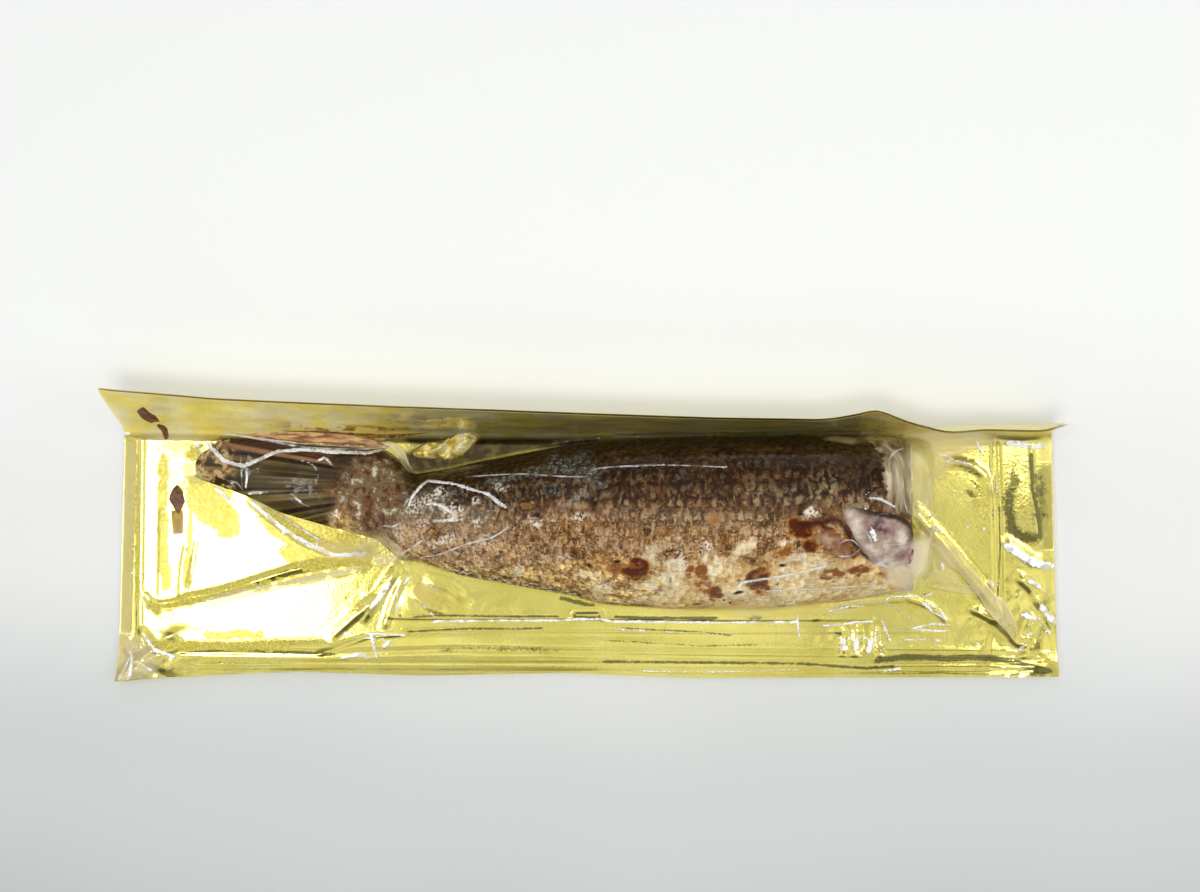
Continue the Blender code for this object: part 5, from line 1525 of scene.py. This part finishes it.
# Crisp creases of the film, as (points, width, height)
CREASES = (
    # flank and blister
    (((-50, 24.8), (-28.3, 25.5), (-12, 24.2), (-1, 24.0), (2.2, 26.6), (9.0, 27.8), (30, 28.4),
     (56.0, 27.5)), 0.8, 0.22), (BLISTER_RIM, 1.1, 0.45),
    (((-29.6, 5.6), (-34.9, 1.7), (-39.9, -0.6), (-47.3, -2.1), (-54.9, -4.7), (-61.5, -6.6),
     (-71.3, -7.7)), 1.0, 0.4), (BLISTER_EYE, 1.1, 0.45),
    (((-64.3, 14.0), (-62.5, 11.0), (-64.5, 8.0)), 0.9, 0.35), (ROOT_CREASE, 1.3, 0.5),
    (((-85.2, 5.7), (-79.9, 4.8), (-76.3, 6.3), (-74.5, 7.8)), 0.8, 0.3),
    # cut end
    (BELLY_STREAK, 1.1, 0.4), (BELLY_LINE, 0.8, 0.25), (((75.0, -11.1), (80.1, -9.2), (86.1, -9.5)), 0.8, 0.3),
    (((97.9, -7.6), (104.0, -7.6), (106.9, -5.6), (108.2, -3.7)), 1.0, 0.35),
    (((99.0, -6.0), (99.5, -2.9), (102.5, -1.4), (105.3, -2.2), (107.7, -5.2), (106.0, -7.5)), 0.9, 0.35),
    (CUT_GLINT, 1.3, 0.5), (((121.9, -8.6), (127.4, -10.1), (133.6, -14.0)), 0.9, 0.4),
    (((121.9, -8.6), (127.3, -13.6), (132.8, -14.4)), 0.7, 0.3), (CUT_ARC, 1.2, 0.5), (CUT_LINE, 0.9, 0.4),
    (CUT_EDGE, 0.9, 0.4), (((109, 2.5), (111.5, -1.5), (112.5, -4.5)), 1.3, 0.4),
    (((113, 7.0), (116, 9.0), (119, 8.2)), 1.0, 0.35), (((118, -4.0), (121, -3.0), (127, -3.4)), 0.8, 0.3),
    (((112, -11.5), (118, -11.0), (124, -14.0)), 1.0, 0.3),
    # tail
    (TAIL_RIDGE, 1.2, 0.5), (TAIL_FORK, 1.5, 0.6), (((-144.3, 35.1), (-143.8, 28), (-143.5, 20.2)), 0.9, 0.4),
    (TAIL_MARK, 1.0, 0.45), (((-125.6, 18.4), (-118.7, 13.8)), 0.9, 0.4),
    (((-108, 10.5), (-105.3, 9.0), (-104.2, 12.9)), 0.9, 0.4), (RAY_CURL, 1.0, 0.4),
    (((-140.9, 17.8), (-130.7, 11.7), (-120.1, 5.0), (-107.5, -2.1), (-97.0, -5.0), (-90.4, -5.1)), 1.2, 0.5),
    (((-141.5, 35.0), (-138.5, 30.0)), 3.6, 0.5), (((-143.5, 31.5), (-140.0, 27.0)), 2.4, 0.4),
    (((-152, 33.5), (-146, 31.0), (-140, 31.0)), 1.8, 0.4),
    (((-150.5, 24.5), (-146, 23.6), (-143.4, 20.4)), 1.2, 0.4),
    (((-147, 43.6), (-139, 42.4), (-128, 40.9), (-114.6, 39.6), (-96, 38.6), (-86, 38.4),
     (-82.8, 40.2)), 1.1, 0.5),
    # bridges to the foil
    (((-163.4, -26.5), (-148.8, -21.8), (-123.9, -17.5), (-100, -12.4)), 1.0, 0.4),
    (((-160, -28.6), (-137.8, -24.5), (-120, -19.7)), 0.9, 0.35),
    (((149.0, 31.8), (151.5, 33.5), (155.7, 32.2), (161.5, 30.5), (166.5, 26.8)), 0.9, 0.4),
    (((132.7, 6.0), (138.0, 9.0), (144.1, 10.8)), 1.2, 0.4), (((141.5, -9.0), (144.5, -15.5)), 0.8, 0.35),
    (((100, -30.5), (107, -26.5), (122, -25.5), (131, -30.5), (137, -35.5)), 0.8, 0.35),
    (((122, -35.8), (139, -37.2), (141, -34.2)), 0.7, 0.3),
)


def tapered(line, step, fade, power):
    """Run from 0 to 1 along a line in steps, and its height as a share, which falls off at both ends."""
    run = np.linspace(0, 1, len(line))
    return run, np.clip(np.minimum(run, 1 - run) * len(line) * step / fade, 0, 1) ** power


def make_creases(material):
    """Narrow beads of film along its sharp creases, glossy, with painted white highlights along them."""
    points_list, faces_list, gleams = [], [], []
    cross = np.array([-1.0, -0.75, -0.4, 0.0, 0.4, 0.75, 1.0])
    for points, width, height in CREASES:
        line = smooth_line(points)
        run, taper = tapered(line, 0.5, 4.0, 0.8)
        total = len(line) * 0.5
        uneven = noise(run * total / 4, np.full_like(run, points[0][0]), 7)
        x, y = across_line(line, cross, width / 2 * (0.25 + 0.55 * taper + 0.25 * uneven * taper))
        z = top_of_film(x, y) + 0.02 + height * taper[:, None] * np.sqrt(1 - 0.98 * cross ** 2)
        points_list.append(np.stack([x, y, z], axis=-1))
        faces_list.append(grid_faces(len(line), len(cross)))
        gleam = np.clip(0.55 + 0.6 * noise(run * total / 2.5, np.full_like(run, points[0][1]), 9), 0, 1) * taper
        gleams.append((gleam[:, None] * (1 - 0.55 * cross ** 2)).reshape(-1) * min(width, 1.1) / 1.1)
    points, faces = join(points_list, faces_list)
    return make_mesh("film_creases", points, faces, material, {"gleam": np.concatenate(gleams)})


def make_bands(material):
    """Wide translucent folds where the film bridges to the foil or doubles up."""
    points_list, faces_list, hazes = [], [], []
    cross = np.array([-1.0, -0.9, -0.6, -0.2, 0.2, 0.6, 0.9, 1.0])
    profile = np.array([0.35, 1.25, 0.90, 0.80, 0.85, 0.95, 1.30, 0.35])
    for points, width, strength in BANDS:
        line = smooth_line(points, 0.8)
        run, taper = tapered(line, 0.8, 9.0, 0.7)
        half = width / 2 * (0.35 + 0.65 * taper + 0.18 * noise(run * len(line) / 9, 0 * run + points[0][0], 17))
        x, y = across_line(line, cross, half)
        z = top_of_film(x, y) + 0.05 + 0.35 * taper[:, None] * (1 - cross ** 4)
        points_list.append(np.stack([x, y, z], axis=-1))
        faces_list.append(grid_faces(len(line), len(cross)))
        haze = strength * profile * (0.3 + 0.7 * taper[:, None]) * (1 + 0.2 * layered_noise(x, y, 6, 2, 19))
        hazes.append(haze.reshape(-1))
    points, faces = join(points_list, faces_list)
    none = np.zeros(len(points))
    return make_mesh("film_folds", points, faces, material, {
        "haze": np.clip(np.concatenate(hazes), 0, MOST_HAZE), "warm": np.full(len(points), FOLD_WARMTH),
        "gleam": none, "rust": none, "dull": none,
    })


def crease_material():
    t = Tree("film_crease_look")
    ripple = t.noise(500, 2.0)
    normal = t.bump(ripple, 0.2, 0.0004)
    gloss = t.add("BsdfGlossy", {"Color": (1.0, 1.0, 1.0), "Roughness": 0.10, "Normal": normal})
    clear = t.add("BsdfTransparent", {"Color": (0.97, 0.965, 0.955)})
    film = t.blend(t.thin_gloss(normal, 0.040), clear, gloss)
    # painted highlights: the creases turn white along the gleam field
    white = t.matter((0.96, 0.95, 0.93), 0.18, normal)
    gleam = t.patch("gleam", ripple, 0.35, 0.6, 1.0, 0.55)
    whole = t.blend(gleam, film, white)
    return t.finish(whole)


# The stage, in metres: floor, the way toward the one who takes the picture, camera
FLOOR_LEVEL = -0.0004
FLOOR_SIZE = (5.0, 5.0)
TAKER_WAY = (0.0, -0.574, 0.819)
CAMERA_PLACE = (0.0059, -0.02616, 0.697)
CAMERA_TILT_DEG = 5.3
FOCAL_LENGTH = 50.0  # millimetres
SENSOR_WIDTH = 36.0


def flat_card(name, place, size, look):
    """A level rectangle."""
    w, h = size[0] / 2, size[1] / 2
    x, y, z = place
    corners = [(x - w, y - h, z), (x + w, y - h, z), (x + w, y + h, z), (x - w, y + h, z)]
    mesh = bpy.data.meshes.new(name)
    mesh.from_pydata(corners, [], [(0, 1, 2, 3)])
    mesh.materials.append(look)
    card = bpy.data.objects.new(name, mesh)
    bpy.context.scene.collection.objects.link(card)
    return card


def make_floor():
    t = Tree("pale_floor_look")
    slow = t.noise(3.0, 2.0)
    place = t.add("SeparateXYZ", {0: t.place()})
    # painted shade: the floor grows darker toward the near side, unevenly
    level = t.math("ADD", place.outputs[1], t.times(t.math("SUBTRACT", slow, 0.5), 0.10))
    grey = t.ramp(t.math("MULTIPLY_ADD", level, 2.0, clamp=True), (
        (0.06, (0.42, 0.44, 0.435)), (0.30, (0.63, 0.65, 0.64)), (0.50, (0.86, 0.87, 0.855)),
        (0.72, (0.96, 0.975, 0.96)),
    ))
    surface = t.matter(grey, 0.6, specular=0.2)
    floor = flat_card("floor", (0, 0, FLOOR_LEVEL), FLOOR_SIZE, t.finish(surface))


def area_light(name, place, aim, size, radiance, diffuse=True, glossy=True):
    """A rectangular light of a given radiance that is seen by the surfaces only."""
    light = bpy.data.lights.new(name, "AREA")
    light.shape = "RECTANGLE"
    light.size, light.size_y = size
    light.energy = radiance * math.pi * size[0] * size[1]
    lamp = bpy.data.objects.new(name, light)
    lamp.location = place
    lamp.rotation_euler = (Vector(place) - Vector(aim)).to_track_quat("Z", "Y").to_euler()
    lamp.visible_camera = False
    lamp.visible_diffuse = diffuse
    lamp.visible_glossy = glossy
    bpy.context.scene.collection.objects.link(lamp)
    return lamp


def flag(name, place, size):
    """A dark card overhead that the foil mirrors."""
    t = Tree(name + "_look")
    dark = t.add("Emission", {"Color": (0.20, 0.20, 0.19), "Strength": 1.0})
    card = flat_card(name, place, size, t.finish(dark))
    card.visible_camera = False
    card.visible_diffuse = False
    card.visible_shadow = False
    card.visible_transmission = False


def make_light():
    """A bright ceiling over a darker room, area lights, and dark cards for the foil to mirror."""
    world = bpy.data.worlds.new("studio")
    bpy.context.scene.world = world
    t = Tree("studio", world)
    place = t.add("TexCoord").outputs["Generated"]
    height = t.add("SeparateXYZ", {0: place}).outputs[2]
    grey = t.ramp(height, ((0.0, 0.50), (0.35, 0.28), (0.67, 0.38), (0.84, 0.87), (0.96, 0.96)))
    patches = t.add("TexNoise", {"Vector": place, "Scale": 9.0, "Detail": 1.5}).outputs["Fac"]
    least = t.between(height, 0.30, 0.60, 0.90, 0.66)
    most = t.between(height, 0.30, 0.60, 0.90, 1.14)
    spread = t.between(patches, 0.40, 0.58, least, most)
    # the one who takes the picture stands on the near side and darkens it
    toward = t.add("VectorMath", {0: place, 1: TAKER_WAY}, operation="DOT_PRODUCT").outputs["Value"]
    shade = t.between(toward, 0.86, 0.955, 1.0, 0.16)
    t.finish(t.add("Background", {0: grey, 1: t.times(spread, shade)}))

    area_light("front_softbox", (0.1, -0.62, 1.30), (0, 0, 0), (1.5, 0.55), 1.0, glossy=False)
    area_light("front_low", (0.0, -1.15, 0.62), (0, 0, 0.02), (1.6, 0.5), 1.0, glossy=False)
    area_light("back_fill", (0.0, 1.15, 0.75), (0, 0.1, 0.0), (1.8, 0.5), 1.0, glossy=False)
    area_light("right_fill", (1.05, 0.0, 0.70), (0.1, 0, 0.0), (0.7, 0.5), 2.0, glossy=False)
    area_light("key", (-0.10, -0.42, 1.35), (0, 0, 0), (0.50, 0.25), 10.6, glossy=False)
    area_light("left_window", (-0.4675, 0.0245, 1.40), (-0.4675, 0.0245, 0), (0.265, 0.219), 9.0)
    area_light("left_window_side", (-0.585, 0.055, 1.40), (-0.585, 0.055, 0), (0.07, 0.27), 9.0, diffuse=False)
    area_light("right_window", (0.475, 0.165, 1.20), (0.475, 0.165, 0), (0.075, 0.03), 9.0, diffuse=False)
    area_light("sparkle_lamp", (0.62, 0.30, 1.25), (0, 0, 0), (0.06, 0.045), 60.0, diffuse=False)
    flag("right_flag", (0.53, 0.10, 1.39), (0.07, 0.11))
    flag("far_right_flag", (0.43, 0.38, 1.2), (0.20, 0.12))
    flag("far_left_flag", (-0.365, 0.20, 1.2), (0.20, 0.035))


def make_camera():
    camera = bpy.data.cameras.new("camera")
    camera.lens = FOCAL_LENGTH
    camera.sensor_width = SENSOR_WIDTH
    camera.clip_start = 0.01
    holder = bpy.data.objects.new("camera", camera)
    holder.location = CAMERA_PLACE
    holder.rotation_euler = (math.radians(CAMERA_TILT_DEG), 0, 0)
    bpy.context.scene.collection.objects.link(holder)
    bpy.context.scene.camera = holder


# Bits under the film, as outlines or lines in X and distance along the sheet
POCKET_CENTRE = (-58.5, 38.5)
POCKET_OUTLINE = (
    (-74.5, 36.5), (-72, 38.6), (-67, 41.0), (-61, 40.4), (-57, 42.8), (-52, 44.9), (-47.5, 44.8),
    (-45, 43.2), (-48, 40.6), (-50.5, 36.6), (-56, 34.2), (-62, 34.9), (-68, 34.1),
)
FIN_EDGE_LINE = (
    (-146, 44.0, 0.3), (-138, 45.0, 1.3), (-126, 44.6, 2.5), (-112, 43.2, 2.8), (-98, 41.8, 2.4),
    (-89, 40.4, 1.4), (-83.5, 39.2, 0.3),
)
BRINE_LINE = (
    (-128, 48.2, 0.2), (-112, 47.2, 0.7), (-98, 45.6, 0.9), (-88, 44.6, 1.3), (-78, 44.8, 0.9),
    (-66, 47.0, 0.3),
)
SKIN_BIT = ((-175.6, 17.0), (-174.2, 21.4), (-172.0, 23.2), (-169.8, 21.0), (-168.6, 16.0), (-171.0, 10.2))
BRINE_PATCH = ((-174.4, 12.4), (-169.4, 12.8), (-168.8, 2.6), (-173.4, 2.2))
UPPER_SKIN_BIT = (
    (-179.9, 68.5), (-183.5, 63.8), (-183.8, 58.1), (-180.9, 53.1), (-179.6, 55.3), (-176.7, 55.3),
    (-177.5, 61.0), (-179.3, 63.2), (-179.5, 67.0),
)
LOWER_SKIN_BIT = (
    (-179.3, 51.8), (-178.3, 47.1), (-177.5, 41.3), (-175.9, 42.9), (-175.6, 49.2), (-176.2, 51.8),
    (-178.3, 53.4),
)


def make_bits():
    """What lies loose under the film: the flap, a pocket of the film with painted reflection, an edge of fin,
    dried skin.
    """
    pieces = [lens_piece(
        "belly_flap", FLAP_OUTLINE, FLAP_CENTRE, lambda x, y: np.maximum(fish_top(x, y) - 0.6, 1.2), 2.7,
        flap_material(), extra=lambda x, y: 0.5 * layered_noise(x, y, 6, 3, 161),
    ), lens_piece(
        "film_pocket_painted_reflection", POCKET_OUTLINE, POCKET_CENTRE, foil_level, 2.6, pocket_material(), 18, 72, 0.10,
        extra=lambda x, y: 1.9 * facets(x, y, 3.6, 59),
    )]
    dried = crumb_material("dried_skin_look", (0.060, 0.016, 0.005), (0.23, 0.095, 0.032))
    brine = crumb_material("brine_look", (0.32, 0.17, 0.012), (0.56, 0.37, 0.05))
    fin_edge = crumb_material("fin_edge_look", (0.28, 0.115, 0.040), (0.84, 0.52, 0.25), (0.22, 1.0, 1.0))
    brown_line = crumb_material("brine_line_look", (0.10, 0.035, 0.008), (0.36, 0.17, 0.045))
    return [
        *pieces,
        sheet_ribbon("upper_fin_edge", FIN_EDGE_LINE, fin_edge),
        sheet_ribbon("brine_line", BRINE_LINE, brown_line, 0.12),
        lens_piece("skin_bit", filled(SKIN_BIT), (-172, 16.3), foil_level, 0.35, dried, *BIT_GRID, 0.08),
        lens_piece("brine_patch", filled(BRINE_PATCH), (-171.5, 8.0), foil_level, 0.12, brine, *BIT_GRID, 0.03),
        wall_flake("upper_skin_bit", filled(UPPER_SKIN_BIT), (-181, 59.5), dried),
        wall_flake("lower_skin_bit", filled(LOWER_SKIN_BIT), (-177.2, 48.5), dried),
    ]


def main():
    bpy.context.scene.view_settings.view_transform = "Standard"
    gold, film, fish, crease = gold_material(), film_material(), fish_material(), crease_material()
    foil = make_foil(gold, foil_back_material())
    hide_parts("foil_backing")
    clear = make_film(film)
    body = make_fish(fish)
    for piece in (clear, body):
        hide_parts("sealed_bag")
    pieces = [clear, body, make_creases(crease), make_bands(film), *make_bits()]
    for piece in (foil, *pieces):
        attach(piece, "root")
    make_floor()
    make_light()
    make_camera()


main()
